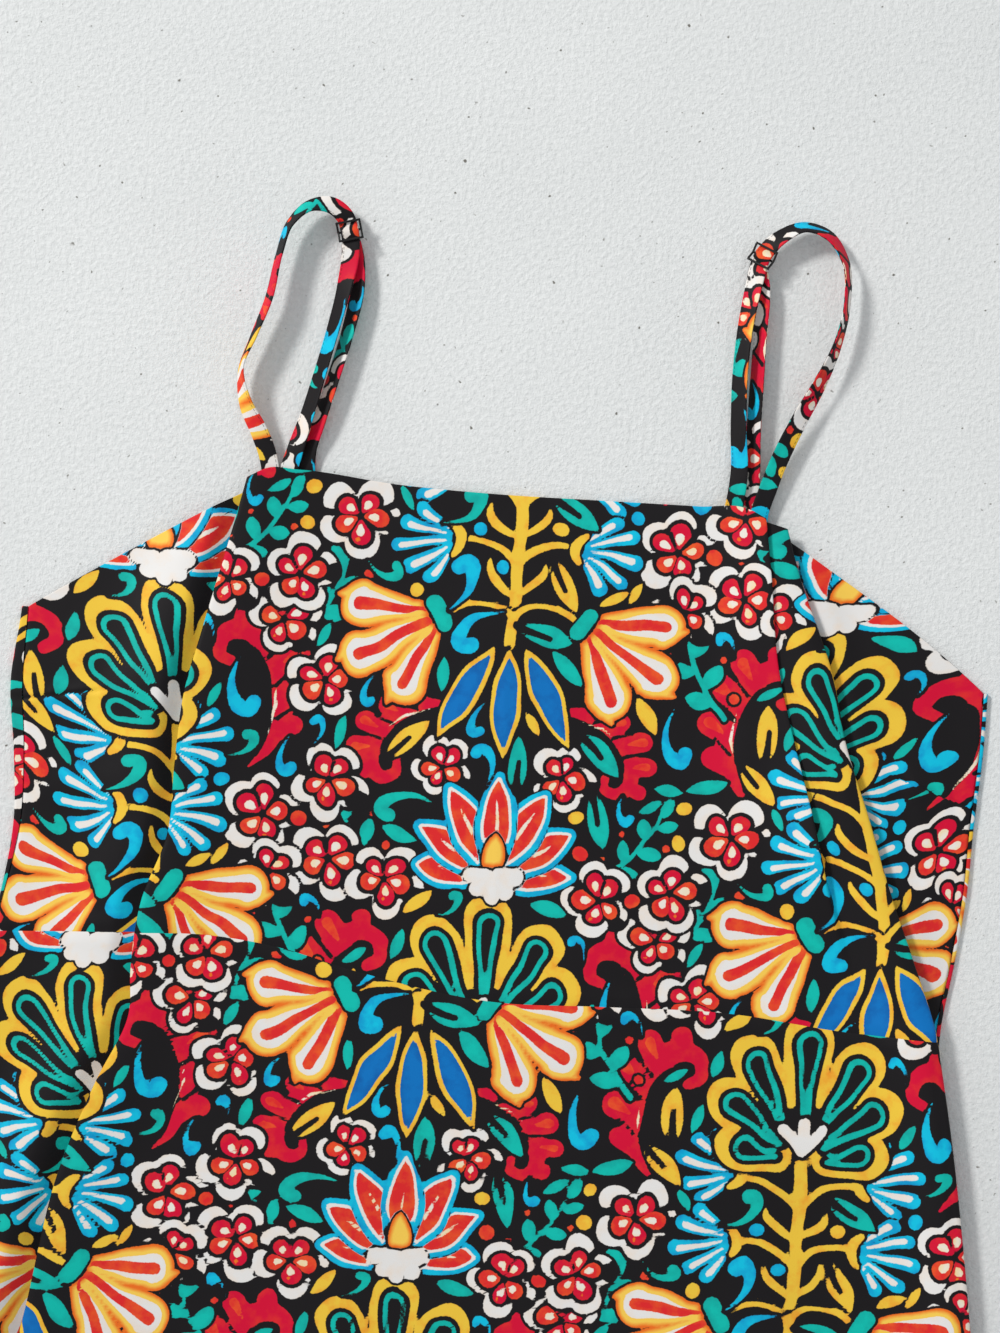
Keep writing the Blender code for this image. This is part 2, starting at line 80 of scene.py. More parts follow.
SKIRT_FINE, FINE_ROWS, COARSE_ROWS = 0.2527, 143, 110    # the front skirt's rows are closer above
BACK_BODICE_ROWS, BACK_BODICE_WIDTH = 70, 560    # rows of points, and rough width
BACK_SKIRT_ROWS, BACK_SKIRT_WIDTH = 230, 700
FLUTE_START = 480.0      # drop at which the skirt's soft waves begin
STRAP_WIDTH, STRAP_THICK, STRAP_STEP = 10.4, 1.3, 1.8
COURSE_POINTS = 1200     # how finely a strap's course is measured
STITCH_IN, STITCH_LONG = 1.3, 2.6    # how far in from a strap's edge, and the stitches' length
SLIDER_WIDTH, SLIDER_LENGTH, SLIDER_BAR, SLIDER_ROUND = 14.6, 11.6, 1.2, 0.3
SLIDER_ARCH = 1.15       # how far a slider's end bars stand up, and its middle bar down
SLIDER_STEP, SLIDER_REACH = 0.6, 9.0     # a strap's finer steps beside its slider
STRAP_DIP, STRAP_HUMP, DIP_FADE = -0.65, 0.55, 3.5   # a strap's wave through its slider
LEFT_SLIDER_DROP, RIGHT_SLIDER_DROP = -144.5, -148.5
RETURN_SHIFT = 460       # how much further down the print a strap's returning part is cut

# How the front lies, row by row. left and right are the sides of the dress, and wrap is how
# far the back comes round the left side. The rest are the edges of the folds, the width of
# cloth that each hides, and how far round the crease turns, in degrees.
Lay = namedtuple(
    "Lay",
    "drop left wrap left_fold left_lap crease crease_lap crease_turn right_fold right_lap right",
)
LAY = [Lay(*row) for row in (
    (-10, -283, 4, -157, 6, 139, 3, 180, 149, 4, 277),
    (30, -283, 4, -165, 8, 146, 5, 180, 162, 8, 277),
    (90, -284, 4, -178, 12, 156, 7, 180, 187, 12, 278),
    (130, -287, 7, -186, 15, 168, 7, 180, 198, 15, 278),
    (170, -282, 6, -188, 17, 181, 5, 150, 214, 18, 276),
    (210, -279, 4, -189, 18, 193, 3, 80, 229, 20, 275),
    (250, -283, 2, -201, 16, 206, 2, 12, 246, 22, 271),
    (290, -291, 2, -204, 12, 216, 2, 0, 262, 24, 266),
    (315, -294, 2, -203, 12, 220, 2, 0, 268, 24, 266),
    (356, -300, 2, -219, 20, 228, 2, 0, 277, 25, 274),
    (404, -307, 2, -235, 26, 238, 2, 0, 286, 26, 283),
    (494, -320, 2, -250, 33, 256, 2, 0, 301, 28, 298),
    (750, -357, 2, -297, 44, 300, 2, 0, 345, 34, 342),
    (1000, -394, 2, -340, 50, 340, 2, 0, 389, 40, 386),
    (1240, -431, 2, -380, 56, 378, 2, 0, 431, 44, 428),
)]

Edge = namedtuple("Edge", "x drop")
NECKLINE = (Edge(-157, 1), Edge(-149, -4), Edge(-130, -5), Edge(-71, -1), Edge(-19, 0),
            Edge(45, -1), Edge(103, -2), Edge(132, -2), Edge(140, 2))
WAIST = (Edge(-292, 275), Edge(-208, 269), Edge(-162, 267), Edge(-120, 271), Edge(-76, 281),
         Edge(10, 293), Edge(66, 291), Edge(144, 289), Edge(208, 294), Edge(268, 295))
BACK_TOP = (Edge(-278, 86), Edge(-200, 78), Edge(0, 72), Edge(200, 80), Edge(273, 93))

# Soft waves of the skirt's front: place across the cloth at the hem, width and height there.
Flute = namedtuple("Flute", "x width height")
FLUTES = (Flute(-250, 60, 5), Flute(-95, 52, 8), Flute(70, 60, 6), Flute(225, 54, 8))

# A strap's points. tilt is how far the band leans over, in degrees: at 90 it stands on edge.
Point = namedtuple("Point", "x drop height tilt")
LEFT_STRAP = [Point(*row) for row in (
    (-145, 12, 5.2, 0), (-146, -3, 5.3, 0), (-149, -14, 6.2, 0), (-154, -25, 8, 10),
    (-163, -41, 11, 42), (-167, -60, 12.5, 72), (-161, -80, 13, 66), (-154, -102, 14, 62),
    (-150, -128, 14, 66), (-145, -146, 14, 60), (-134, -157, 13, 42), (-122, -158, 11.2, 14),
    (-114, -152, 10.2, 2), (-111.2, -145, 10, 0), (-109.6, -134, 10, -3), (-111.5, -112, 10, -30),
    (-116, -88, 9.6, -42), (-122, -60, 9.2, -42), (-128, -34, 8, -34), (-132.6, -17, 6.2, -16),
    (-136, -3, 3.9, -2), (-137.5, 12, 1.9, 0), (-137, 35, 1.2, 0), (-134, 62, 1.3, 0),
    (-132, 74, 2.2, 0), (-131, 88, 2.2, 0),
)]
LEFT_RETURN = [Point(*row) for row in (
    (-109.6, -139, 7.6, 0), (-107, -131, 7, -8), (-104.5, -112, 6.2, -30), (-108, -86, 5.8, -42),
    (-114.5, -58, 5.8, -42), (-121, -33, 5, -34), (-125.5, -17, 3.4, -16), (-125.6, -3, 1.9, -2),
    (-125.2, 12, 1.2, 0), (-124.6, 35, 1.2, 0), (-122, 62, 1.3, 0), (-120, 74, 2.2, 0),
    (-119, 88, 2.2, 0),
)]
RIGHT_STRAP = [Point(*row) for row in (
    (137, 12, 5.4, 0), (138, -3, 5.5, 0), (141, -14, 6.2, 0), (145, -28, 7.5, -4),
    (155, -54, 9.5, -20), (166, -78, 11, -40), (174, -100, 12, -60), (178, -127, 12, -66),
    (175, -149, 12, -60), (164, -163.5, 11.5, -50), (150, -167, 11, -50), (138, -161, 10.5, -34),
    (130, -153, 10, -18), (126, -145, 9.8, -14), (124, -133, 9.6, -24), (120.6, -104, 9.4, -36),
    (120, -76, 9, -36), (121.5, -49, 8, -34), (124, -22, 6, -20), (122.5, -3, 3.8, -4),
    (119, 12, 1.9, 0), (118, 35, 1.2, 0), (118, 62, 1.3, 0), (118, 74, 2.2, 0), (118, 88, 2.2, 0),
)]
RIGHT_RETURN = [Point(*row) for row in (
    (126.4, -139, 7.2, -16), (128.6, -131, 6.6, -30), (129.8, -104, 6.2, -46),
    (130.2, -74, 6, -46), (130.6, -44, 5, -40), (131.4, -22, 3.2, -16), (132, -3, 1.8, -2),
    (131, 12, 1.2, 0), (130.6, 35, 1.2, 0), (130.4, 62, 1.3, 0), (130.2, 74, 2.2, 0),
    (130, 88, 2.2, 0),
)]

# The print repeats at this width and height, and each column of it is half a height down.
TILE_WIDE, TILE_HIGH = 228.0, 338.0
PRINT_EDGE = 0.35        # how softly a colour of the print ends, in millimetres
PRINT_INSET = 0.22       # how far each colour draws back from its outline, in millimetres
FAR = 12.0               # distances past this are all kept as this

# The print's colours, in the order in which they are laid. Each is washed with a second tint:
# how much of it shows at the edges, how much more towards the middle, and how blotchy it is.
# colour and wet are the two tints, from 0 to 255 as a screen shows them.
Wash = namedtuple("Wash", "start depth blotch colour wet")
WASHES = {
    "yellow": Wash(0.02, 0.10, 2.6, (240, 198, 62), (238, 142, 36)),
    "teal": Wash(0.20, 0.10, 2.2, (0, 190, 176), (0, 152, 146)),
    "blue": Wash(0.25, 0.08, 2.4, (0, 114, 192), (0, 82, 158)),
    "crimson": Wash(0.12, 0.05, 2.4, (212, 0, 52), (228, 52, 36)),
    "cyan": Wash(0.22, 0.10, 2.8, (0, 192, 226), (0, 138, 200)),
    "orange": Wash(0.5, -0.42, 1.0, (238, 112, 30), (248, 204, 84)),
    "white": Wash(0.12, 0.10, 2.2, (232, 230, 228), (238, 220, 202)),
    "flame": Wash(0.2, 0.06, 2.8, (222, 38, 40), (240, 96, 36)),
    "spark": Wash(0.2, 0.10, 2.6, (236, 230, 220), (244, 214, 148)),
}
LAYERS = tuple(WASHES)

# The camera looks straight down, as in the photograph, turned a little. HALF_VIEW is half of
# the floor's width in the picture. These sizes, and the lamp's, are metres.
CAMERA_AT = (-0.00465, 0.43085)
CAMERA_HEIGHT = 1.6
CAMERA_ROLL = math.radians(4.5)
HALF_VIEW = 0.29

FLOOR_SIZE = 8.0

# The air's light and the lamp's, and the lamp's direction, distance, width, beam and aim.
FILL_LIGHT, KEY_LIGHT = 0.56, 11.9
AIR_TINT, LAMP_TINT = (0.97, 0.985, 1.0), (1.0, 0.985, 0.96)
LAMP_FROM = (-0.8446, 0.5353, 0.80)
LAMP_AWAY, LAMP_WIDE = 6.0, 1.125
LAMP_BEAM = math.radians(38)
LAMP_AIM = (0.0, 0.60)


def smooth(at, xs, ys):
    """A smooth curve through the points (xs, ys), read at every value of at."""
    xs, ys = np.asarray(xs, float), np.asarray(ys, float)
    slopes = np.gradient(ys, xs)
    at = np.clip(at, xs[0], xs[-1])
    i = np.clip(np.searchsorted(xs, at) - 1, 0, len(xs) - 2)
    width = xs[i + 1] - xs[i]
    t = (at - xs[i]) / width
    start = (1 + 2 * t) * (1 - t) ** 2 * ys[i] + t * (1 - t) ** 2 * width * slopes[i]
    end = t * t * (3 - 2 * t) * ys[i + 1] - t * t * (1 - t) * width * slopes[i + 1]
    return start + end


def along(edge, x):
    """The drop of an edge or seam at x."""
    return smooth(x, [p.x for p in edge], [p.drop for p in edge])


def lay_at(drop):
    """The lay's columns at these drops."""
    drops = [row.drop for row in LAY]
    return Lay(*(smooth(drop, drops, column) for column in zip(*LAY)))


def lengths(points):
    """The distance along a line of points, at each of them."""
    return np.r_[0, np.cumsum(np.linalg.norm(np.diff(points, axis=0), axis=1))]


def settle(distance, spread):
    """1 beside a fold, falling to 0 where its cloth has settled."""
    return np.exp(-((distance / spread) ** 2))


def fold_point(part, edge, side, lap, radius, turn=math.pi):
    """A point of a fold's cloth, from its upper edge at part 0 to the cloth below it at part 3.

    Parts 0 to 1 and 2 to 3 are the two turns, and 1 to 2 is the hidden cloth between them.
    side is 1 where the fold's edge faces right. radius is that of a full half turn, and a
    smaller turn is as long and so is rounder. The height is that above the cloth below.
    """
    rounder = radius * math.pi / turn
    first = turn * np.clip(part, 0, 1)
    straight = lap * np.clip(part - 1, 0, 1)
    second = turn * np.clip(part - 2, 0, 1)
    across = rounder * (np.sin(first) - np.sin(np.minimum(turn, math.pi / 2)))
    across = across + straight * np.cos(turn) + rounder * (np.sin(turn) - np.sin(turn - second))
    down = rounder * (1 - np.cos(first)) + straight * np.sin(turn)
    down = down + rounder * (np.cos(turn - second) - np.cos(turn))
    rise = 2 * rounder * (1 - np.cos(turn)) + lap * np.sin(turn)
    return edge + side * across, rise - down


def flute_height(x, drop):
    """Height that the soft waves add to the skirt's front."""
    hem = BACK_HEM_DROP - FLUTE_START
    grown = np.clip((drop - FLUTE_START) / hem, 0, 1) ** 1.4
    total = 0
    for flute in FLUTES:
        centre = flute.x * (0.75 + 0.25 * np.clip((drop - FLUTE_START) / hem, 0, 1))
        total = total + flute.height * settle(x - centre, flute.width)
    return grown * total


def between_folds(lay):
    """x of the ends of the cloth between the two long folds' upper edges."""
    return lay.left_fold + FOLD_RADIUS, lay.right_fold - FOLD_RADIUS


def front_point(zone, part, drop):
    """x and height of the front's cloth in one of the zones that it has from left to right.

    part goes from 0 to 1 across a flat run, and from 0 to 3 across a fold.
    """
    lay = lay_at(drop)
    first, last = between_folds(lay)
    sides = {
        "left side": (lay.left + lay.wrap + SEAM_GAP / 2, lay.left_fold + lay.left_lap),
        "right side": (lay.right_fold - lay.right_lap, lay.right - RIGHT_WRAP - SEAM_GAP / 2),
    }
    if zone in sides:
        start, end = sides[zone]
        return start + (end - start) * part, TOP_LAYER + 0 * part
    if zone == "left fold":
        x, rise = fold_point(3 - part, lay.left_fold, -1, lay.left_lap, FOLD_RADIUS)
        return x, TOP_LAYER + rise
    if zone == "right fold":
        x, rise = fold_point(part, lay.right_fold, 1, lay.right_lap, FOLD_RADIUS)
        return x, TOP_LAYER + rise

    def lain(x):
        sides = settle(x - first, FOLD_SPREAD) + settle(last - x, FOLD_SPREAD)
        return TOP_LAYER + 4 * FOLD_RADIUS * sides + flute_height(x, drop)

    if zone == "whole":
        x = first + (last - first) * part
        return x, lain(x)
    turn = np.radians(np.maximum(lay.crease_turn, 0.5))
    crease = (lay.crease, 1, lay.crease_lap, CREASE_RADIUS, turn)
    start, rise = fold_point(0, *crease)
    end, _level = fold_point(3, *crease)
    if zone == "crease":
        x, above = fold_point(part, *crease)
        return x, lain(end) + above + (lain(start) - lain(end)) * (1 - part / 3) * np.cos(turn / 2)
    if zone == "strip":
        x = end + (last - end) * part
        return x, lain(x)
    x = first + (start - first) * part
    begin = lain(end) + rise + (lain(start) - lain(end)) * np.cos(turn / 2)
    return x, lain(x) + (begin - lain(start)) * settle(start - x, CREASE_SPREAD)


# Drop of the bodice's top edge at the start and end of each run.
TOP_EDGE = {
    "left side": (86.0, 6.0),
    "left fold": (6.0, 1.0),
    "crease": (2.0, 3.0),
    "strip": (3.0, 7.0),
    "right fold": (7.0, 10.0),
    "right side": (10.0, 93.0),
}


def bodice_top(zone, part):
    """The drop of the front's top edge."""
    if zone == "centre":
        return float(along(NECKLINE, NECKLINE[0].x + (NECKLINE[-1].x - NECKLINE[0].x) * part))
    start, end = TOP_EDGE[zone]
    whole = 1 if zone in ("left side", "strip", "right side") else 3
    return start + (end - start) * part / whole


def hem_drop(x, lowest):
    """The drop of a hem that rises to the sides from its lowest drop."""
    return lowest - (lowest - SIDE_HEM_DROP) * np.minimum(1, (x / SIDE_HEM_X) ** 2)


def crossing(zone, part, drop, line):
    """The drop where this column of the front crosses a line, found from a first guess."""
    for _ in range(4):
        drop = float(line(front_point(zone, part, np.float64(drop))[0]))
    return drop


def waist_drop(zone, part):
    return crossing(zone, part, 285.0, lambda x: along(WAIST, x))


def hem_of(zone, part):
    return crossing(zone, part, FRONT_HEM_DROP, lambda x: hem_drop(x, FRONT_HEM_DROP))


def back_point(part, drop):
    """x and height of the back's cloth.

    Parts 0 to 1 and 4 to 5 are its narrow strips that come round to the top, 1 to 2 and 3 to 4
    the turns, and 2 to 3 the back on the floor.
    """
    lay = lay_at(drop)
    left_turn, right_turn = lay.left + SIDE_TURN, lay.right - SIDE_TURN
    strip = lay.left + lay.wrap - SEAM_GAP / 2
    right_strip = lay.right - RIGHT_WRAP + SEAM_GAP / 2
    angle = math.pi * (np.clip(part - 1, 0, 1) if part <= 2 else 1 - np.clip(part - 3, 0, 1))
    height = FLOOR_LAYER + SIDE_TURN * (1 + np.cos(angle))
    bulge = SIDE_TURN * np.sin(angle)
    if part <= 1:
        return strip + (left_turn - strip) * part, TOP_LAYER + 0 * strip
    if part <= 2:
        return left_turn - bulge, height
    if part <= 3:
        return left_turn + (right_turn - left_turn) * (part - 2), FLOOR_LAYER + 0 * strip
    if part <= 4:
        return right_turn + bulge, height
    return right_turn + (right_strip - right_turn) * (part - 4), TOP_LAYER + 0 * strip


def strap_course(points, slider_drop=None):
    """The (place, across, up) of each step along a strap, and the slider's seat, if it has one.

    The steps are close together at the slider, and the strap waves through it there.
    """
    table = np.array([(p.x, NECK_Y - p.drop, p.height, p.tilt) for p in points], float)
    chord = lengths(table[:, :3])
    fine = np.linspace(0, chord[-1], COURSE_POINTS)
    curve = np.stack([smooth(fine, chord, table[:, k]) for k in range(4)], axis=1)
    length = lengths(curve[:, :3])
    total = length[-1]
    stops = np.linspace(0, total, round(total / STRAP_STEP) + 1)
    if slider_drop is not None:
        top = curve[:, 1].argmax()
        slider = length[np.abs(curve[top:, 1] - (NECK_Y - slider_drop)).argmin() + top]
        near = np.linspace(-SLIDER_REACH, SLIDER_REACH, round(2 * SLIDER_REACH / SLIDER_STEP) + 1)
        apart = np.abs(stops - slider) > SLIDER_REACH + 0.4 * STRAP_STEP
        stops = np.sort(np.r_[stops[apart], slider + near])

    def read(at):
        return np.stack([np.interp(at, length, curve[:, k]) for k in range(4)], axis=1)

    here = read(stops)
    forward = read(np.minimum(stops + 1, total))[:, :3] - read(np.maximum(stops - 1, 0))[:, :3]
    forward /= np.linalg.norm(forward, axis=1)[:, None]
    flat = np.cross(forward, (0, 0, 1))
    flat /= np.linalg.norm(flat, axis=1)[:, None]
    rise = np.cross(flat, forward)
    tilt = np.radians(here[:, 3])[:, None]
    across = flat * np.cos(tilt) + rise * np.sin(tilt)
    up = rise * np.cos(tilt) - flat * np.sin(tilt)
    place = here[:, :3]
    if slider_drop is None:
        return place, across, up, None
    seat = int(np.abs(stops - slider).argmin())
    seat = (place[seat].copy(), forward[seat], across[seat], up[seat])
    return place + up * slider_wave(stops - slider)[:, None], across, up, seat


def slider_wave(distance):
    """How far the strap leaves its course to pass under the end bars and over the middle bar."""
    pitch = (SLIDER_LENGTH - SLIDER_BAR) / 2
    middle, swing = (STRAP_HUMP + STRAP_DIP) / 2, (STRAP_HUMP - STRAP_DIP) / 2
    inside = middle + swing * np.cos(math.pi * distance / pitch)
    outside = STRAP_DIP * settle(np.abs(distance) - pitch, DIP_FADE)
    return np.where(np.abs(distance) < pitch, inside, outside)


class Drawing:
    """The print: how far every point of the cloth is from the edge of each colour.

    Its coordinates waver a little, as a hand does.
    """

    def __init__(self, across, down):
        self.across = across + 0.7 * np.sin(across / 5.3 + 1.3 * np.sin(down / 7.1))
        self.up = -(down + 0.7 * np.sin(down / 6.1 + 1.7 * np.sin(across / 8.3)))
        self.edge = {name: np.full(across.shape, FAR) for name in LAYERS}

    def place(self, centre, reach, turn=0.0, size=1.0, flip=False):
        """Moves to a motif's own axes, in every repeat of the print, turned clockwise."""
        column = np.round((self.across - centre[0]) / TILE_WIDE)
        x = self.across - centre[0] - column * TILE_WIDE
        y = self.up - centre[1] - column * TILE_HIGH / 2
        y = y - TILE_HIGH * np.round(y / TILE_HIGH)
        self.here = np.flatnonzero(x * x + y * y < (reach * size) ** 2)
        x, y = x[self.here] / size, y[self.here] / size
        c, s = math.cos(math.radians(turn)), math.sin(math.radians(turn))
        x, y = x * c - y * s, x * s + y * c
        self.size = size
        self.x, self.y = (-x if flip else x), y

    def paint(self, layer, distance):
        """Lays a colour wherever the distance to a shape is negative."""
        field = self.edge[layer]
        field[self.here] = np.minimum(field[self.here], distance * self.size)

    def clear(self, distance, gap, layers=LAYERS):
        """Leaves the black ground bare in and round a shape."""
        for layer in layers:
            field = self.edge[layer]
            field[self.here] = np.maximum(field[self.here], gap - distance * self.size)

    def inlay(self, layer, distance, gap=1.3):
        """Lays a colour with the black ground bare round it."""
        self.clear(distance, gap)
        self.paint(layer, distance)

    def beside(self, start, end, origin):
        """How far aside of and ahead of origin, seen from start to end, and how far that is."""
        x, y = self.x - origin[0], self.y - origin[1]
        dx, dy = end[0] - start[0], end[1] - start[1]
        long = math.hypot(dx, dy)
        dx, dy = dx / long, dy / long
        return np.abs(x * dy - y * dx), x * dx + y * dy, long

    def egg(self, start, end, first, last):
        """Distance to a tapered shape with round ends of these radii."""
        side, ahead, long = self.beside(start, end, start)
        slope = (first - last) / long
        cosine = math.sqrt(max(0.0, 1 - slope * slope))
        along_edge = -slope * side + cosine * ahead
        middle = side * cosine + ahead * slope - first
        low = np.hypot(side, ahead) - first
        high = np.hypot(side, ahead - long) - last
        return np.where(along_edge < 0, low, np.where(along_edge > cosine * long, high, middle))

    def lens(self, start, end, half):
        """Distance to a pointed leaf between two points, this wide to each side."""
        middle = ((start[0] + end[0]) / 2, (start[1] + end[1]) / 2)
        side, ahead, long = self.beside(start, end, middle)
        ahead = np.abs(ahead)
        reach = long / 2
        inset = 0.5 * (reach * reach - half * half) / half
        tip = reach * side < inset * (ahead - reach)
        round_side = np.hypot(side + inset, ahead) - (inset + half)
        return np.where(tip, np.hypot(side, ahead - reach), round_side)

    def disc(self, centre, radius):
        return np.hypot(self.x - centre[0], self.y - centre[1]) - radius

    def stroke(self, points, widths):
        """Distance to a brush stroke through points, as wide as widths says along it."""
        nearest = np.full(self.x.shape, FAR * 4)
        for (a, b), (wa, wb) in zip(zip(points, points[1:]), zip(widths, widths[1:])):
            dx, dy = b[0] - a[0], b[1] - a[1]
            part = ((self.x - a[0]) * dx + (self.y - a[1]) * dy) / (dx * dx + dy * dy)
            part = np.clip(part, 0, 1)
            away = np.hypot(self.x - a[0] - part * dx, self.y - a[1] - part * dy)
            nearest = np.minimum(nearest, away - wa - (wb - wa) * part)
        return nearest

    def curve(self, points, widths):
        """Distance to a brush stroke along a smooth curve through the points."""
        knots = range(len(points))
        fine = np.linspace(0, knots[-1], 4 * knots[-1] + 1)
        xs, ys, wide = (smooth(fine, knots, values) for values in (*zip(*points), widths))
        return self.stroke(list(zip(xs, ys)), wide)

    def bend(self, start, middle, end, first, last, belly=0.0, count=8):
        """A curved brush stroke. belly is how much wider it is half way."""
        t = np.linspace(0, 1, count)
        xs, ys = ((1 - t) ** 2 * s + 2 * t * (1 - t) * m + t * t * e
                  for s, m, e in zip(start, middle, end))
        return self.stroke(list(zip(xs, ys)), first + (last - first) * t + belly * 4 * t * (1 - t))


def ray(angle, length, start=(0.0, 0.0)):
    """The point at this length from start, at an angle clockwise from straight up."""
    a = math.radians(angle)
    return (start[0] + length * math.sin(a), start[1] + length * math.cos(a))


def union(parts):
    """The distance to the nearest of some shapes."""
    return np.minimum.reduce(parts)


def blossom(art, centre, size, turn):
    """A small red flower of five petals in front of five white ones."""
    art.place(centre, 27, turn, size)
    angles = [72 * k + 7 * math.sin(2.3 * k + centre[0]) for k in range(5)]
    petals = [art.egg(ray(a, 3.2), ray(a, 8.6), 1.6, 4.7 + 0.5 * math.sin(3 * a)) for a in angles]
    whole = union(petals)
    outer = union([art.egg(ray(a, 6), ray(a, 12.0 + math.sin(5 * a)), 7, 8.0) for a in angles])
    art.clear(outer, 1.4)
    white = np.maximum(outer, 1.5 - whole)
    for a in angles[::3]:
        white = np.maximum(white, 1.0 - art.stroke([ray(a + 37, 7), ray(a + 33, 22)], [0.3, 0.7]))
    gone = art.egg(ray(angles[1] + 10, 16), ray(angles[1] + 10, 22), 4.5, 6)
    art.paint("white", np.maximum(white, -gone))
    for k, petal in enumerate(petals):
        art.paint("flame" if k % 2 else "crimson", petal)
        art.clear(art.stroke([ray(angles[k] + 36, 3.0), ray(angles[k] + 36, 9.5)], [0.5, 0.8]), 0.1)
    art.paint("spark", union([art.egg(ray(a, 4.6), ray(a, 7.2), 1.0, 2.2) for a in angles]))
    art.paint("orange", art.disc(ray(angles[2] + 8, 10.5), 1.3))
    art.clear(art.disc((0, 0), 1.5), 0.2)


def tulip(art, centre, turn, size):
    """A tulip seen from the side, its petals edged with orange and striped with red."""
    art.place(centre, 56, turn, size)
    petals = []
    for angle, length, wide in ((-35, 31, 9.2), (35, 31, 9.2), (0, 35, 9.6)):
        petal = art.egg(ray(angle, 9), ray(angle, length), 4.6, wide)
        tip = art.egg(ray(angle + 7, length), ray(angle + 3, length + wide + 1), 6, 1.2)
        petals.append((angle, length, np.minimum(petal, tip)))
    art.clear(union([petal for _angle, _length, petal in petals]), 1.2)
    for angle, length, petal in petals:
        art.clear(petal, 0.3, ("white", "flame"))
        art.paint("orange", petal)
        art.paint("white", petal + 3.3)
        art.paint("flame", art.egg(ray(angle - 2, 6), ray(angle, length + 1), 1.7, 2.6))
    art.inlay("teal", art.egg((-4.2, 0), (4.2, 0), 3.4, 3.4), 1.0)


def palmette(art, centre, size):
    """A fan of teal leaflets inside a yellow scalloped line."""
    art.place(centre, 92, 0, size)
    leaflets = []
    for angle, length in ((-89, 36), (-58, 48), (-31, 57), (0, 62), (31, 57), (58, 48), (89, 36)):
        root = ray(angle, 13.5, (0, -4))
        leaflets.append((angle, length, art.egg(root, ray(angle, length - 7), 1.6, 6.6)))
    whole = union([leaf for _angle, _length, leaf in leaflets])
    rim = union([art.egg(ray(a, 12), ray(a, length - 4), 7, 12.5) for a, length, _leaf in leaflets])
    rim = np.minimum(rim, whole - 6.2)
    art.clear(rim, 1.6)
    # The yellow ends between the leaflets before it gets too thin.
    radius = np.hypot(art.x, art.y)
    thin = np.maximum(23.0 - radius, np.minimum(33.5 - radius, np.abs(art.x) - 12.0))
    thin = np.minimum(thin, art.y - 3.0)
    art.paint("yellow", np.maximum.reduce([rim, 2.0 - whole, thin]))
    for angle, length, leaf in leaflets:
        art.clear(leaf, 1.3)
        art.paint("teal", np.maximum(leaf, -(leaf + 3.0)))
        art.paint("teal", art.egg(ray(angle, 14), ray(angle, length * 0.5), 1.4, 0.7))
    base = union([art.egg((0, 0), ray(a, 15), 3.4, 3.0) for a in (-40, 0, 40)])
    art.inlay("white", base, 1.6)
    art.paint("teal", np.maximum(base + 1.9, 8.0 - radius))


def tuft(art, centre, turn, size):
    """A feathery cyan and white flower head on a yellow cup."""
    art.place(centre, 44, turn, size)
    plumes = [(a, length, art.egg(ray(a, 6), ray(a, length), 1.7, 4.0))
              for a, length in ((-46, 24), (-24, 29), (24, 29), (46, 24), (0, 32))]
    art.clear(union([plume for _angle, _length, plume in plumes]), 1.2)
    for a, length, plume in plumes:
        art.clear(plume, 0.3, ("white", "blue"))
        art.paint("cyan", plume)
        art.paint("blue", art.egg(ray(a + 6, 12), ray(a + 5, length + 1), 0.6, 1.0))
        art.paint("white", art.egg(ray(a - 1, 8), ray(a - 1, length - 2), 0.8, 1.9))
    art.inlay("yellow", art.bend((-7.5, 3.5), (0, -5), (7.5, 3.5), 1.8, 1.8, 1.4), 0.9)


def lotus(art, centre, size):
    """A red water lily with white and cyan edges."""
    art.place(centre, 66, 0, size)
    for angle, length in ((-88, 38), (88, 38), (-60, 43), (60, 43), (-30, 47), (30, 47), (0, 48)):
        petal = art.lens(ray(angle, 2), ray(angle, length), 6.8)
        art.clear(petal - 3.8, 0.5)
        art.paint("cyan", petal - 3.8)
        art.paint("white", petal - 1.4)
        art.paint("flame", petal)
        art.paint("spark", art.lens(ray(angle, 10), ray(angle, length - 8), 1.2))
    heart = art.lens((0, -3), (0, 21), 6.4)
    art.inlay("orange", heart, 0.8)
    art.paint("teal", heart + 2.9)
    skirt = [art.egg(ray(a, 3), ray(a, 11), 3, 4.3) for a in (96, 138, 180, 222, 264)]
    art.inlay("white", union(skirt), 0.9)


def blade(art, centre, turn, length, half):
    """A long blue leaf with a yellow edge."""
    art.place(centre, length + 12, turn)
    art.inlay("yellow", art.lens((0, 0), (0, length), half + 2.4), 1.4)
    art.paint("blue", art.lens((0, 5), (0, length - 4.5), half))


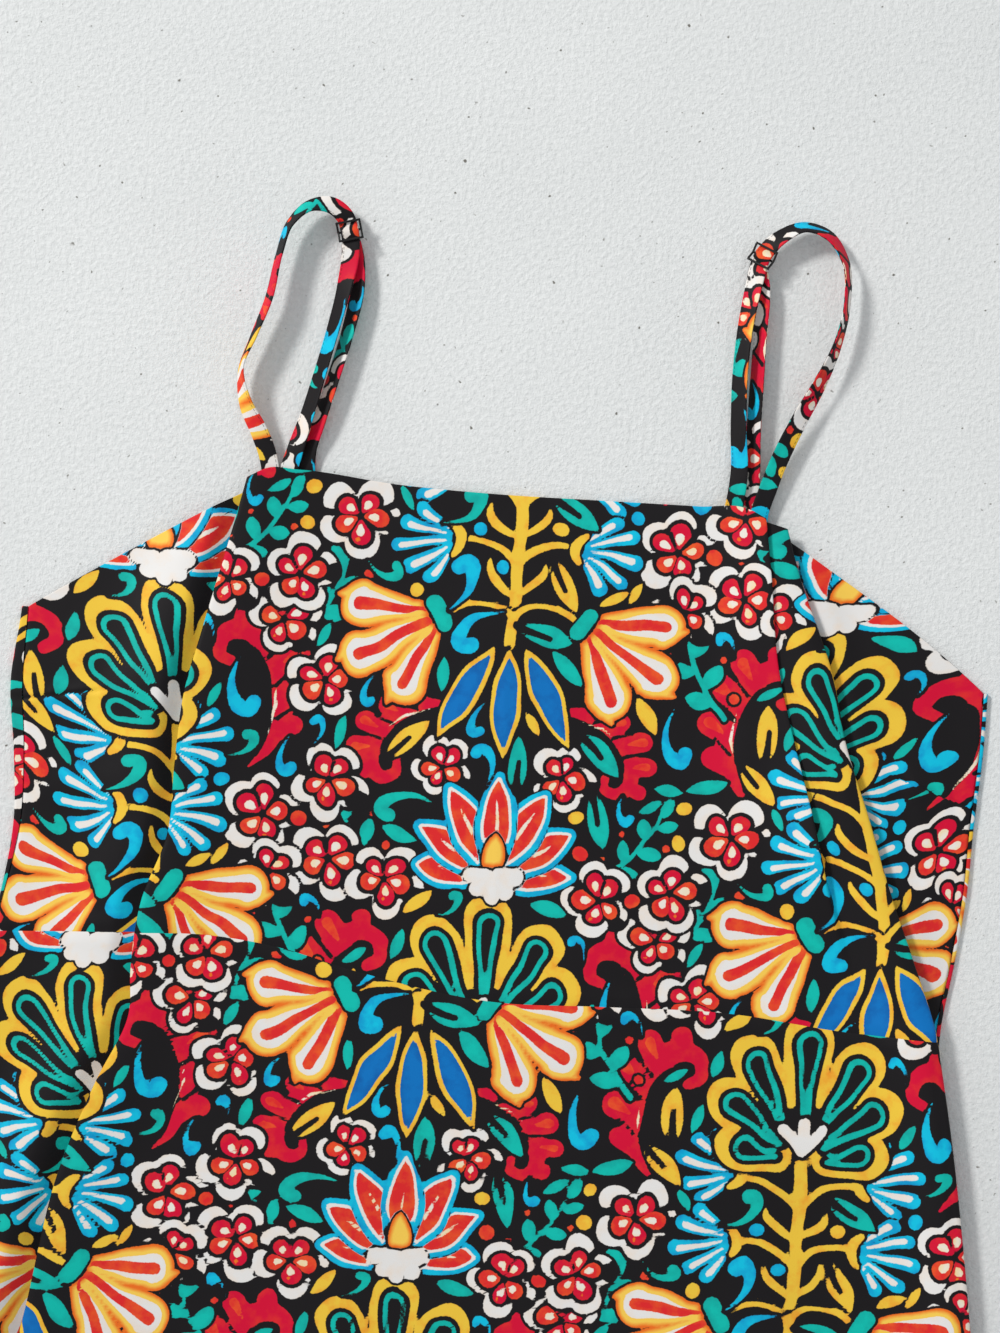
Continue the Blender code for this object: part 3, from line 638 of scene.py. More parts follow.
def acanthus(art, centre, turn, size, flip):
    """A crimson leaf that curls over, with lobes along its back."""
    art.place(centre, 62, turn, size, flip)
    spine = ((-10, -44), (2, -32), (9, -16), (9, 2), (2, 18), (-9, 27), (-20, 25), (-23, 15),
             (-16, 10))
    body = art.curve(spine, (0.8, 3.4, 5.4, 6.2, 6.0, 5.2, 4.4, 3.6, 3.0))
    lobes = union([
        art.egg((5, -27), (14, -23), 5, 5.6), art.egg((8, -11), (18, -6), 6, 7.2),
        art.egg((6, 7), (17, 13), 6.4, 7.6), art.egg((-1, 19), (7, 28), 6, 6.8),
        art.egg((-11, 27), (-9, 34), 5, 5.2),
    ])
    art.inlay("crimson", np.minimum(body, lobes), 1.5)
    art.paint("flame", union([
        art.egg((11, -9), (19, -5), 1.0, 3.4), art.egg((10, 9), (18, 14), 1.0, 3.6),
        art.egg((1, 21), (7, 28), 1.0, 3.0),
    ]))
    vein = art.curve(((-6, -38), (2, -20), (2, 0), (-3, 14), (-11, 20)), (0.3, 1.1, 1.1, 1.0, 0.5))
    branches = (((15, -13), (6, -20)), ((17, 6), (6, -2)), ((12, 21), (2, 12)))
    art.clear(union([vein] + [art.stroke(branch, (0.5, 1.0)) for branch in branches]), 0.1)
    art.paint("spark", art.stroke(((0, -28), (6, -12), (6, 2)), (0.4, 1.2, 0.4)))


def sprig(art, centre, turn, size, flip=False):
    """A teal stem with veined leaves and berries."""
    art.place(centre, 44, turn, size, flip)
    stem = art.bend((0, -28), (9, 0), (-2, 28), 1.6, 1.3)
    leaves = []
    for height, angle in ((-19, 58), (-11, -52), (-1, 56), (8, -54), (18, 38), (26, -12)):
        root = (4.4 - 0.006 * height * height, height)
        leaves.append(art.lens(root, ray(angle, 16, root), 4.4))
    art.inlay("teal", union(leaves + [stem]))
    berries = union([art.disc((-8, -21), 3.0), art.disc((16, 13), 2.8), art.disc((-11, 1), 2.2)])
    art.inlay("flame", berries, 1.2)


def comma(art, centre, turn, size, layer):
    """A curled brush stroke with a round head."""
    art.place(centre, 24, turn, size)
    tail = art.bend((2, -15), (8, -2), (1, 6), 0.4, 3.2)
    curl = art.bend((1, 6), (-3, 10), (-5, 4), 3.2, 3.0, count=5)
    art.inlay(layer, union([tail, curl, art.disc((-4.6, 3.6), 3.5)]))


def leaf(art, centre, turn, size, layer):
    """A single leaf. The vein of a large one is left bare."""
    art.place(centre, 20, turn, size)
    art.inlay(layer, art.lens((0, -13), (0, 13), 4.6), 1.2)
    if size > 1.2:
        art.clear(art.stroke(((0, -13), (0.6, 2)), (1.5, 0.9)), 0.1)


def bead(art, centre, _turn, size, layer):
    """A round dot."""
    art.place(centre, 8, 0, size)
    art.inlay(layer, art.disc((0, 0), 3.0), 1.1)


def stalks(art):
    """The yellow stalks that carry a column's flowers."""
    art.place((0, -54), 118)
    parts = [art.bend((0, 62), (2, 20), (0, -48), 4.4, 3.6)]
    veins = []
    for side in (-1, 1):
        parts.append(art.bend((0, 30), (side * 10, 46), (side * 30, 46), 2.4, 2.0))
        parts.append(art.bend((0, -4), (side * 10, 12), (side * 30, 10), 2.4, 2.0))
        parts.append(art.bend((0, -34), (side * 12, -16), (side * 40, -34), 2.6, 2.2))
        parts.append(art.bend((side * 2, 14), (side * 20, 22), (side * 17, 31), 1.8, 1.0, 1.2))
        parts.append(art.bend((side * 2, -20), (side * 18, -10), (side * 16, -1), 1.8, 1.0, 1.2))
        veins.append(art.bend((0, -30), (side * 6, -22), (side * 24, -24), 0.3, 0.6))
    art.inlay("yellow", union(parts))
    art.clear(union(veins), 0.3)


# The small shapes between the flowers: the place, turn and size of each.
FILLERS = (
    (comma, "cyan", ((76, 26, 180, 1.35), (100, 184, 180, 1.35), (206, 72, 240, 1.35),
        (198, 102, 30, 1.34), (104, 328, 195, 0.89), (218, 336, 0, 0.96), (120, 10, 15, 0.74),
        (74, 142, 180, 0.74), (148, 32, 210, 0.74), (212, 20, 210, 0.82), (124, 246, 330, 0.67),
        (52, 64, 345, 0.67))),
    (comma, "teal", ((170, 306, 270, 1.35), (198, 144, 60, 1.19), (154, 104, 120, 0.89),
        (206, 252, 60, 0.74), (80, 336, 60, 0.82))),
    (leaf, "yellow", ((152, 194, 0, 1.35), (28, 272, 150, 1.35), (172, 6, 45, 1.35),
        (82, 200, 150, 0.94), (148, 166, 135, 1.28), (186, 252, 45, 0.85), (70, 270, 30, 0.65),
        (16, 190, 150, 0.65), (58, 266, 60, 0.73))),
    (leaf, "teal", ((58, 138, 165, 1.35), (20, 242, 105, 1.35), (32, 314, 120, 1.35),
        (10, 166, 0, 1.28), (56, 176, 135, 1.35), (120, 162, 75, 0.94), (34, 84, 105, 0.94),
        (34, 224, 135, 1.11), (166, 194, 15, 0.77), (190, 46, 0, 0.77), (134, 8, 15, 0.77),
        (162, 146, 150, 0.65), (88, 148, 60, 0.65), (60, 24, 30, 0.65), (120, 64, 30, 0.65),
        (172, 290, 105, 0.9), (176, 226, 15, 0.73), (98, 158, 90, 0.73), (152, 218, 60, 0.65))),
    (bead, "yellow", ((106, 128, 30, 1.5), (24, 304, 75, 1.5), (172, 94, 45, 1.5),
        (46, 138, 45, 1.44), (108, 148, 45, 1.44))),
    (bead, "flame", ((114, 294, 15, 1.5), (50, 118, 15, 1.44), (82, 92, 165, 1.39))),
    (bead, "cyan", ((68, 314, 30, 1.5), (206, 132, 45, 1.44), (220, 110, 0, 1.39))),
)


def draw(across, down):
    """The distance from every point of the cut to the edge of each of the print's colours."""
    art = Drawing(across, down)
    for side in (-1, 1):
        acanthus(art, (side * 88, 34), side * -6, 1.12, side < 0)
        acanthus(art, (side * 62, -158), side * 128, 0.86, side > 0)
    sprig(art, (-106, -74), 24, 1.1)
    sprig(art, (113, -108), -26, 1.1, flip=True)
    sprig(art, (80, -214), 40, 0.9)
    sprig(art, (-80, -214), -40, 0.9, flip=True)
    for x, y, size, turn in (
        (92, -42, 1.22, 10), (130, -20, 1.16, 40), (133, -66, 1.2, 22), (99, -76, 1.05, 55),
        (-92, -36, 1.22, 25), (-131, -98, 1.1, 60), (-106, -132, 1.1, 5), (62, 92, 1.12, 50),
        (-62, 94, 1.12, 33), (104, 98, 1.15, 5), (-34, -176, 0.95, 48), (36, -178, 1.0, 20),
    ):
        blossom(art, (x, y), size, turn)
    stalks(art)
    for side in (-1, 1):
        blade(art, (side * 9, -104), side * 152, 64, 6.4)
        tuft(art, (side * 34, -6), side * 78, 1.12)
        tuft(art, (side * 34, -44), side * 100, 1.12)
        tulip(art, (side * 42, -88), side * 122, 1.45)
    blade(art, (0, -104), 180, 66, 7.2)
    palmette(art, (0, 10), 1.14)
    lotus(art, (0, -236), 1.16)
    for shape, layer, places in FILLERS:
        for x, y, turn, size in places:
            shape(art, (x, y), turn, size, layer)
    return art.edge


def noise(x, y, seed, size):
    """A smooth random height from -1 to 1, about this size from hill to hill."""
    x, y = np.asarray(x, float) / size + 100.0, np.asarray(y, float) / size + 100.0
    hills = np.random.default_rng(seed).uniform(-1, 1, (256, 256))
    i, j = np.floor(x).astype(int), np.floor(y).astype(int)
    s, t = x - i, y - j
    s, t = s * s * (3 - 2 * s), t * t * (3 - 2 * t)
    low = hills[i % 256, j % 256] * (1 - s) + hills[(i + 1) % 256, j % 256] * s
    high = hills[i % 256, (j + 1) % 256] * (1 - s) + hills[(i + 1) % 256, (j + 1) % 256] * s
    return low * (1 - t) + high * t


# A soft line in the cloth from one place to another, with its width and height.
Ridge = namedtuple("Ridge", "x1 drop1 x2 drop2 width height")
RIDGES = [Ridge(*row) for row in (
    (-150, 30, -138, 250, 16, 0.9), (-120, 60, -96, 270, 26, 0.8),
    (128, 40, 152, 270, 12, 1.0), (108, 20, 96, 240, 22, -0.7),
    (60, 296, 84, 520, 2.2, 0.28), (-62, 296, -70, 540, 26, 1.0),
    (232, 120, 254, 210, 8, 1.2), (-262, 96, -206, 132, 12, 1.1),
    (-270, 190, -212, 180, 10, 0.7), (-214, 60, -196, 118, 9, 0.9),
    (206, 60, 226, 110, 8, 1.0), (262, 190, 246, 226, 7, 0.8),
    (-4, 20, 4, 280, 2.0, 0.22), (150, 300, 196, 560, 20, 1.1),
    (-150, 300, -176, 540, 22, 1.0), (8, 300, 10, 620, 30, -0.8),
)]

# The front's soft hills: the seed of each kind, its size across and its height.
HILLS = ((3, 62, 0.55), (4, 23, 0.22))

# A bust dart: its tip, its open end at the side seam, and the cloth that it takes up there.
Dart = namedtuple("Dart", "tip_x tip_drop side_x side_drop taken")
DARTS = (Dart(-229, 130, -281, 139.5, 15), Dart(222, 143, 279, 162, 15))


def ridge_height(ridge, x, drop):
    """Height that a ridge adds, fading out at both of its ends."""
    dx, dy = ridge.x2 - ridge.x1, ridge.drop2 - ridge.drop1
    part = ((x - ridge.x1) * dx + (drop - ridge.drop1) * dy) / (dx * dx + dy * dy)
    clear = np.clip(part, 0, 1)
    away = np.hypot(x - ridge.x1 - clear * dx, drop - ridge.drop1 - clear * dy)
    faded = np.sin(math.pi * np.clip(0.06 + 0.88 * clear, 0, 1))
    return ridge.height * faded * settle(away, ridge.width)


def dart_place(dart, x, drop):
    """How far along a dart a point is, from 0 at its tip, and how far below its line."""
    along_it = (x - dart.tip_x) / (dart.side_x - dart.tip_x)
    line = dart.tip_drop + (dart.side_drop - dart.tip_drop) * np.clip(along_it, 0, 1)
    return along_it, drop - line


def dart_relief(dart, x, drop):
    """A dart's groove, with its stitches' small puckers, and the dimple at its tip."""
    part, below = dart_place(dart, x, drop)
    inside = np.clip(part / 0.15, 0, 1) * (part > 0)
    groove = -0.8 * settle(below, 1.2) + 0.6 * settle(below, 6)
    pucker = 0.3 * np.sin(part * 23 + 1.1 * np.sin(part * 9)) * settle(below, 6)
    dimple = 0.9 * settle(np.hypot(part * 52 + 4, below), 11)
    return inside * (groove + pucker) + dimple


def waist_relief(x, drop, pucker):
    """The gathers beside the waist seam, and the low roll of its turned edges."""
    away = np.abs(drop - along(WAIST, x))
    lines = np.sin(x / 3.1 + 2.2 * np.sin(x / 13.7)) + 0.6 * np.sin(x / 7.7 + 1)
    return pucker * lines * np.exp(-((away / 7.5) ** 1.3)) + 0.5 * settle(away - 5, 5)


def neck_relief(x, drop):
    """The small waves of the stitched neckline."""
    away = np.where(np.abs(x) < 150, np.abs(drop - along(NECKLINE, x)), 40)
    return 0.12 * np.sin(x / 4.3 + np.sin(x / 9.1)) * np.exp(-((away / 6) ** 1.4))


def relief(x, drop, sizes):
    """Height that the soft creases, darts and puckered seams add to the front."""
    height = sum(high * noise(x, drop, seed, wide) for seed, wide, high in HILLS)
    height = height + sum(ridge_height(ridge, x, drop) for ridge in RIDGES)
    height = height + sum(dart_relief(dart, x, drop) for dart in DARTS)
    height = height + waist_relief(x, drop, sizes.pucker) + neck_relief(x, drop)
    return np.maximum(height, -1.0 + 0.8 * settle(drop - 40, 60))


def offset(line, distance):
    """The points (x, height) of a line across the dress, moved outwards by this distance."""
    runs = np.diff(line, axis=0)
    runs /= np.maximum(np.linalg.norm(runs, axis=1), 1e-9)[:, None]
    sides = np.stack([-runs[:, 1], runs[:, 0]], axis=1)
    before = np.vstack([sides[:1], sides])
    after = np.vstack([sides, sides[-1:]])
    share = 1 + (before * after).sum(axis=1)
    return line + distance * (before + after) / np.maximum(share, 0.5)[:, None]


def turned_rows(row, sense, radius, depth):
    """Rows that turn an edge under, from the edge's outside to the end of its turning.

    row holds (x, drop, height) across the dress. sense is 1 at a lower edge, -1 at an upper.
    """
    moves = [(radius * (1 - math.cos(turn)), radius * math.sin(turn))
             for turn in np.linspace(0, math.pi, 7)[1:]]
    moves += [(2 * radius, -depth / 2), (2 * radius, -depth)]
    rows = []
    for inwards, outwards in moves:
        moved = offset(row[:, [0, 2]], -inwards)
        rows.append(np.stack([moved[:, 0], row[:, 1] + sense * outwards, moved[:, 1]], axis=1))
    return rows


def with_edges(points, top, bottom):
    """Adds turned edges to rows of points. top and bottom are each (radius, depth) in mm."""
    rows = list(points)
    above = turned_rows(rows[0], -1, *top)[::-1]
    below = turned_rows(rows[-1], 1, *bottom)
    return np.array(above + rows + below)


def cut_places(points, shift):
    """Where each point lies in the cut: its distance across and down the cloth, in mm."""
    rows = np.arange(len(points))
    steps = np.linalg.norm(np.diff(points[:, :, [0, 2]], axis=1), axis=2)
    across = np.concatenate([np.zeros((len(points), 1)), np.cumsum(steps, axis=1)], axis=1)
    middle = np.abs(points[:, :, 0]).argmin(axis=1)
    start = across[rows, middle] - points[rows, middle, 0]
    steps = np.linalg.norm(np.diff(points[:, :, [1, 2]], axis=0), axis=2)
    gone = np.concatenate([np.zeros((1, points.shape[1])), np.cumsum(steps, axis=0)], axis=0)
    return across - start[:, None] + shift[0], points[0, :, 1] + gone + shift[1]


def sheet(name, points, across, down, from_edge=None):
    """A sheet of cloth through rows of points, with the print's edges kept at every point.

    from_edge is each point's distance from the edge that is stitched, where one is.
    """
    rows, columns = points.shape[:2]
    shape = bmesh.new()
    bmesh.ops.create_grid(shape, x_segments=columns - 1, y_segments=rows - 1, size=1)
    mesh = kept_mesh(name, shape)
    square = np.empty(len(mesh.vertices) * 3, np.float32)
    mesh.vertices.foreach_get("co", square)
    square = square.reshape(-1, 3)
    column = np.rint((square[:, 0] + 1) / 2 * (columns - 1)).astype(int)
    row = np.rint((1 - square[:, 1]) / 2 * (rows - 1)).astype(int)
    place = points[row, column]
    world = np.stack([CENTRE_X + place[:, 0], NECK_Y - place[:, 1], place[:, 2]], axis=1) * MM
    mesh.vertices.foreach_set("co", world.astype(np.float32).ravel())
    from_edge = 0 * across if from_edge is None else from_edge
    keep_print(mesh, across[row, column], down[row, column], from_edge[row, column])
    return piece(name, mesh, shared("printed_cloth", printed_cloth))


def keep_print(mesh, across, down, from_edge):
    """Stores where each point is in the cut, and how far it is from each colour of the print."""
    cut = mesh.attributes.new("cut", "FLOAT_VECTOR", "POINT")
    place = np.stack([across, down, from_edge], axis=1)
    cut.data.foreach_set("vector", place.astype(np.float32).ravel())
    for layer, edge in draw(across, down).items():
        field = mesh.attributes.new("print_" + layer, "FLOAT", "POINT")
        field.data.foreach_set("value", edge.astype(np.float32))


def kept_mesh(name, shape):
    """A mesh of what the bmesh operators made."""
    mesh = bpy.data.meshes.new(name)
    shape.to_mesh(mesh)
    shape.free()
    return mesh


def in_scene(name, data):
    """An object in the scene."""
    made = bpy.data.objects.new(name, data)
    bpy.context.scene.collection.objects.link(made)
    return made


def piece(name, mesh, finish):
    """An object of this mesh and material, smoothly shaded."""
    made = in_scene(name, mesh)
    mesh.materials.append(finish)
    mesh.shade_smooth()
    mesh.update()
    return made


# How much of the rolls of the two long folds stands up, above the folds and beside them, and how
# steep the roll beside the left one is: each a (drop, value) table.
ROLL_ABOVE = ((-10, 0.35), (60, 0.8), (130, 1), (300, 1), (700, 0.7), (1230, 0.5))
ROLL_BESIDE = ((0, 0.5), (50, 1), (150, 1), (230, 0.7), (290, 0.5), (360, 0.9), (440, 1.35),
               (560, 1.35), (900, 0.7), (1230, 0.3))
LEFT_ROLL_SPREAD = ((290, 9.0), (440, 12.0), (1230, 20.0))


def read_table(table, drop):
    """The value that a table of (drop, value) rows has at these drops."""
    return np.interp(drop, *zip(*table))


def fold_relief(run, x, drop, height):
    """Height that the rolls of the two long folds add, above them and beside them.

    Each roll is a hump of so many millimetres, a little way from a fold's edge and so wide.
    """
    lay = lay_at(drop)
    beside = read_table(ROLL_BESIDE, drop)
    if run == "left side":
        inside = np.clip((lay.left_fold + lay.left_lap - x) / lay.left_lap, 0, 1)
        clear = np.clip((x - lay.left - 6) / 25, 0, 1)
        steep = read_table(LEFT_ROLL_SPREAD, drop)
        away = x - lay.left_fold + 1.65 * steep
        hump = 7.0 * clear * settle(away, np.where(away > 0, steep, 26.0))
        return beside * (hump - 1.2 * inside * settle(x - lay.left_fold, 8))
    if run == "right side":
        clear = np.clip((lay.right - 6 - x) / 20, 0, 1)
        hump = 2.4 * clear * settle(x - lay.right_fold - 9, 11)
        return beside * (hump + 0.8 * clear * settle(x - lay.right_fold - 50, 14))
    share = 1.0
    if run.endswith("fold"):
        share = np.clip((height - TOP_LAYER) / (4 * FOLD_RADIUS), 0, 1)
    left = 1.8 * settle(x - lay.left_fold - 8, 18)
    right = 6.0 * settle(x - lay.right_fold + 8, 19)
    return read_table(ROLL_ABOVE, drop) * share * (left + right)


# The runs of cloth across the front, with each one's rough width. A fold has none.
RUNS = (("left side", 116), ("left fold", 0), ("centre", 318), ("crease", 0), ("strip", 40),
        ("right fold", 0), ("right side", 112))


def front_cells(step):
    """(run, part) for every column of a front piece from left to right."""
    cells = []
    for run, width in RUNS:
        if width:
            parts = list(np.linspace(0, 1, max(3, round(width / step)) + 1))
        else:
            parts = [*np.linspace(0, 1, 6), *np.linspace(1, 2, 7)[1:], *np.linspace(2, 3, 6)[1:]]
        if run == "left side":
            parts[1:1] = [distance / width for distance in SIDE_COLUMNS]
        if run == "right side":
            parts[-1:-1] = [1 - distance / width for distance in reversed(SIDE_COLUMNS)]
        cells += [(run, part) for part in (parts if not cells else parts[1:])]
    return cells


def front_points(cells, top, bottom, shares, sizes):
    """Rows of (x, drop, height) for a front piece, with its relief."""
    tops = np.array([top(run, part) for run, part in cells])
    bottoms = np.array([bottom(run, part) for run, part in cells])
    drops = tops[None] + (bottoms - tops)[None] * shares[:, None]
    points = np.empty(drops.shape + (3,))
    for k, (run, part) in enumerate(cells):
        x, height = front_point(run, part, drops[:, k])
        points[:, k, 0] = x
        points[:, k, 2] = height + fold_relief(run, x, drops[:, k], height)
    points[:, :, 1] = drops
    points[:, :, 2] += relief(points[:, :, 0], drops, sizes)
    for edge in (points[:, :1, 0], points[:, -1:, 0]):
        points[:, :, 2] -= SIDE_DIP * settle(points[:, :, 0] - edge, SIDE_DIP)
    return points


def even(count):
    """Shares from 0 to 1 in this many equal steps."""
    return np.linspace(0, 1, count + 1)


def waist_above(run, part):
    return waist_drop(run, part) - SEAM_GAP / 2


def waist_below(run, part):
    return waist_drop(run, part) + SEAM_GAP / 2


def skirt_cell(run, part):
    """The front skirt's column that meets this one of the bodice at the waist."""
    if run not in ("centre", "crease", "strip"):
        return run, part
    drop = np.float64(waist_drop(run, part))
    first, last = between_folds(lay_at(drop))
    x, _height = front_point(run, part, drop)
    return "whole", float((x - first) / (last - first))


def lifted(points, sizes):
    """The back's points, its edges that come round to the front raised as the front is."""
    share = np.clip((points[:, :, 2] - FLOOR_LAYER) / (TOP_LAYER - FLOOR_LAYER), 0, 1) ** 2
    points[:, :, 2] += share * relief(points[:, :, 0], points[:, :, 1], sizes)
    return points


def back_points(top, bottom, shares, step, width):
    """Rows of (x, drop, height) for a back piece, from its right edge round to its left."""
    floor = np.linspace(3, 2, round(width / step) + 1)[1:]
    parts = [5.0, 4.5, *np.linspace(4, 3, 9), *floor, *np.linspace(2, 1, 9)[1:], 0.5, 0.0]
    points = np.empty((len(shares), len(parts), 3))
    for k, part in enumerate(parts):
        drop = np.full(len(shares), 100.0)
        for _ in range(4):
            x, height = back_point(part, drop)
            drop = top(x) + (bottom(x) - top(x)) * shares
        points[:, k] = np.stack([x + 0 * drop, drop, height + 0 * drop], axis=1)
    return points


def declare(made, node):
    """Rides with the dress and takes the solid's place."""
    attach(made, "root")
    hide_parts(node)


def lay_sheet(node, points, shift, darts=()):
    """Makes a panel of the printed cloth. shift is its place on the print."""
    across, down = cut_places(points, shift)
    for dart in darts:
        part, below = dart_place(dart, points[:, :, 0], points[:, :, 1])
        down = down + dart.taken * np.clip(part, 0, 1) * (below > 0)
    made = sheet("dressed_" + node, points, across, down)
    declare(made, node)


def strap_outline():
    """The (across, up) of each point round a strap's section, flat with round edges."""
    radius = STRAP_THICK / 2
    half = STRAP_WIDTH / 2 - radius
    turn = np.linspace(0, math.pi / 2, 4)
    corner = np.stack([half + radius * np.sin(turn), radius * np.cos(turn)], axis=1)
    flat = np.stack([np.linspace(-half, half, 7)[1:-1], np.full(5, radius)], axis=1)
    over = np.vstack([corner[::-1] * (-1, 1), flat, corner])
    return np.vstack([over, over[-2::-1] * (1, -1)])


def strap(node, points, slider_drop, shift):
    """Makes a strap, a flat tube of cloth along its course, and gives its slider's seat."""
    place, across, up, seat = strap_course(points, slider_drop)
    outline = strap_outline()
    aside, above = outline[None, :, 0, None], outline[None, :, 1, None]
    world = place[:, None] + aside * across[:, None] + above * up[:, None]
    rows = np.stack([world[:, :, 0], NECK_Y - world[:, :, 1], world[:, :, 2]], axis=2)
    length, around = lengths(place), lengths(outline)
    down_cut, across_cut = np.meshgrid(shift[1] + length, shift[0] + around, indexing="ij")
    from_edge = STRAP_WIDTH / 2 - outline[:, 0] + 0 * down_cut
    made = sheet("dressed_" + node, rows, across_cut, down_cut, from_edge)
    shape = bmesh.new()
    shape.from_mesh(made.data)
    bmesh.ops.remove_doubles(shape, verts=shape.verts, dist=0.02 * MM)
    open_edges = [edge for edge in shape.edges if edge.is_boundary]
    bmesh.ops.holes_fill(shape, edges=open_edges, sides=0)
    bmesh.ops.recalc_face_normals(shape, faces=shape.faces)
    shape.to_mesh(made.data)
    shape.free()
    made.data.shade_smooth()
    declare(made, node)
    length[-1] * MM
    return seat


def slider(node, seat):
    """A small slider: a plate with two windows whose ends stand above its middle bar."""
    place, forward, across, up = seat
    half_width, half_length, bar = SLIDER_WIDTH / 2, SLIDER_LENGTH / 2, SLIDER_BAR
    aside = (-half_width, -half_width + bar, half_width - bar, half_width)
    ahead = (-half_length, -half_length + bar, -bar / 2, bar / 2, half_length - bar, half_length)
    arches = (SLIDER_ARCH, SLIDER_ARCH, -SLIDER_ARCH, -SLIDER_ARCH, SLIDER_ARCH, SLIDER_ARCH)
    shape = bmesh.new()
    bmesh.ops.create_grid(shape, x_segments=3, y_segments=5, size=1)
    middles = [(face, face.calc_center_median()) for face in shape.faces]
    windows = [face for face, at in middles if abs(at.x) < 0.1 and 0.3 < abs(at.y) < 0.5]
    for vert in shape.verts:
        column = round((vert.co.x + 1) / 2 * 3)
        row = round((vert.co.y + 1) / 2 * 5)
        at = place + aside[column] * across + ahead[row] * forward + arches[row] * up
        vert.co = Vector(at) * MM + Vector((CENTRE_X * MM, 0, 0))
    bmesh.ops.delete(shape, geom=windows, context="FACES")
    bmesh.ops.recalc_face_normals(shape, faces=shape.faces)
    mesh = kept_mesh("dressed_" + node, shape)
    made = piece("dressed_" + node, mesh, shared("black_lacquer", black_lacquer))
    plate = made.modifiers.new("plate", "SOLIDIFY")
    plate.thickness = bar * MM
    plate.offset = 0
    plate.use_even_offset = True
    rounding = made.modifiers.new("rounding", "BEVEL")
    rounding.width = SLIDER_ROUND * MM
    rounding.segments = 3
    rounding.limit_method = "ANGLE"
    rounding.angle_limit = math.radians(40)
    declare(made, node)


class Socket:
    """A socket of a material's nodes. Arithmetic on it adds Math nodes."""

    def __init__(self, tree, socket=None):
        self.tree = tree
        self.socket = socket

    def node(self, kind, settings=None, inputs=None, output=0):
        """Adds a node: its settings first, then the values or links of its sockets."""
        made = self.tree.nodes.new(kind)
        for key, value in (settings or {}).items():
            setattr(made, key, value)
        for key, value in (inputs or {}).items():
            if isinstance(value, Socket):
                self.tree.links.new(value.socket, made.inputs[key])
            else:
                made.inputs[key].default_value = value
        return Socket(self.tree, made.outputs[output])

    def maths(self, operation, first, second=0.0, clamp=False):
        settings = {"operation": operation, "use_clamp": clamp}
        return self.node("ShaderNodeMath", settings, {0: first, 1: second})

    def __add__(self, other):
        return self.maths("ADD", self, other)

    def __radd__(self, other):
        return self.maths("ADD", other, self)

    def __sub__(self, other):
        return self.maths("SUBTRACT", self, other)

    def __rsub__(self, other):
        return self.maths("SUBTRACT", other, self)

    def __mul__(self, other):
        return self.maths("MULTIPLY", self, other)

    def __rmul__(self, other):
        return self.maths("MULTIPLY", other, self)

    def clamped(self):
        return self.maths("ADD", self, 0.0, clamp=True)

    def mixed(self, factor, below, above):
        """The colour above over the colour below, by a factor from 0 to 1."""
        below, above = (c if isinstance(c, Socket) else (*c, 1) for c in (below, above))
        inputs = {0: factor, 6: below, 7: above}
        return self.node("ShaderNodeMix", {"data_type": "RGBA"}, inputs, output=2)

    def noise(self, scale, detail, roughness=0.5):
        """Noise at this place."""
        inputs = {"Vector": self, "Scale": scale, "Detail": detail, "Roughness": roughness}
        return self.node("ShaderNodeTexNoise", {}, inputs)

    def bump(self, strength, distance):
        """The normal of a surface that is as rough as this height."""
        inputs = {"Height": self, "Strength": strength, "Distance": distance}
        return self.node("ShaderNodeBump", {}, inputs)


def new_material(name):
    """A material, its principled shader and a place to start its nodes from."""
    made = bpy.data.materials.new(name)
    made.use_nodes = True
    shader = made.node_tree.nodes["Principled BSDF"]
    return made, shader, Socket(made.node_tree)


def feed(start, shader, **values):
    """Gives the shader's sockets, each named in lower case, their values or links."""
    for key, value in values.items():
        key = key.replace("_", " ").title().replace("Ior", "IOR")
        if isinstance(value, Socket):
            start.tree.links.new(value.socket, shader.inputs[key])
        else:
            shader.inputs[key].default_value = value


def from_screen(red, green, blue):
    """A screen colour, 0 to 255, as the light that it stands for."""
    light = []
    for part in (red, green, blue):
        part = part / 255
        light.append(part / 12.92 if part < 0.04045 else ((part + 0.055) / 1.055) ** 2.4)
    return tuple(light)


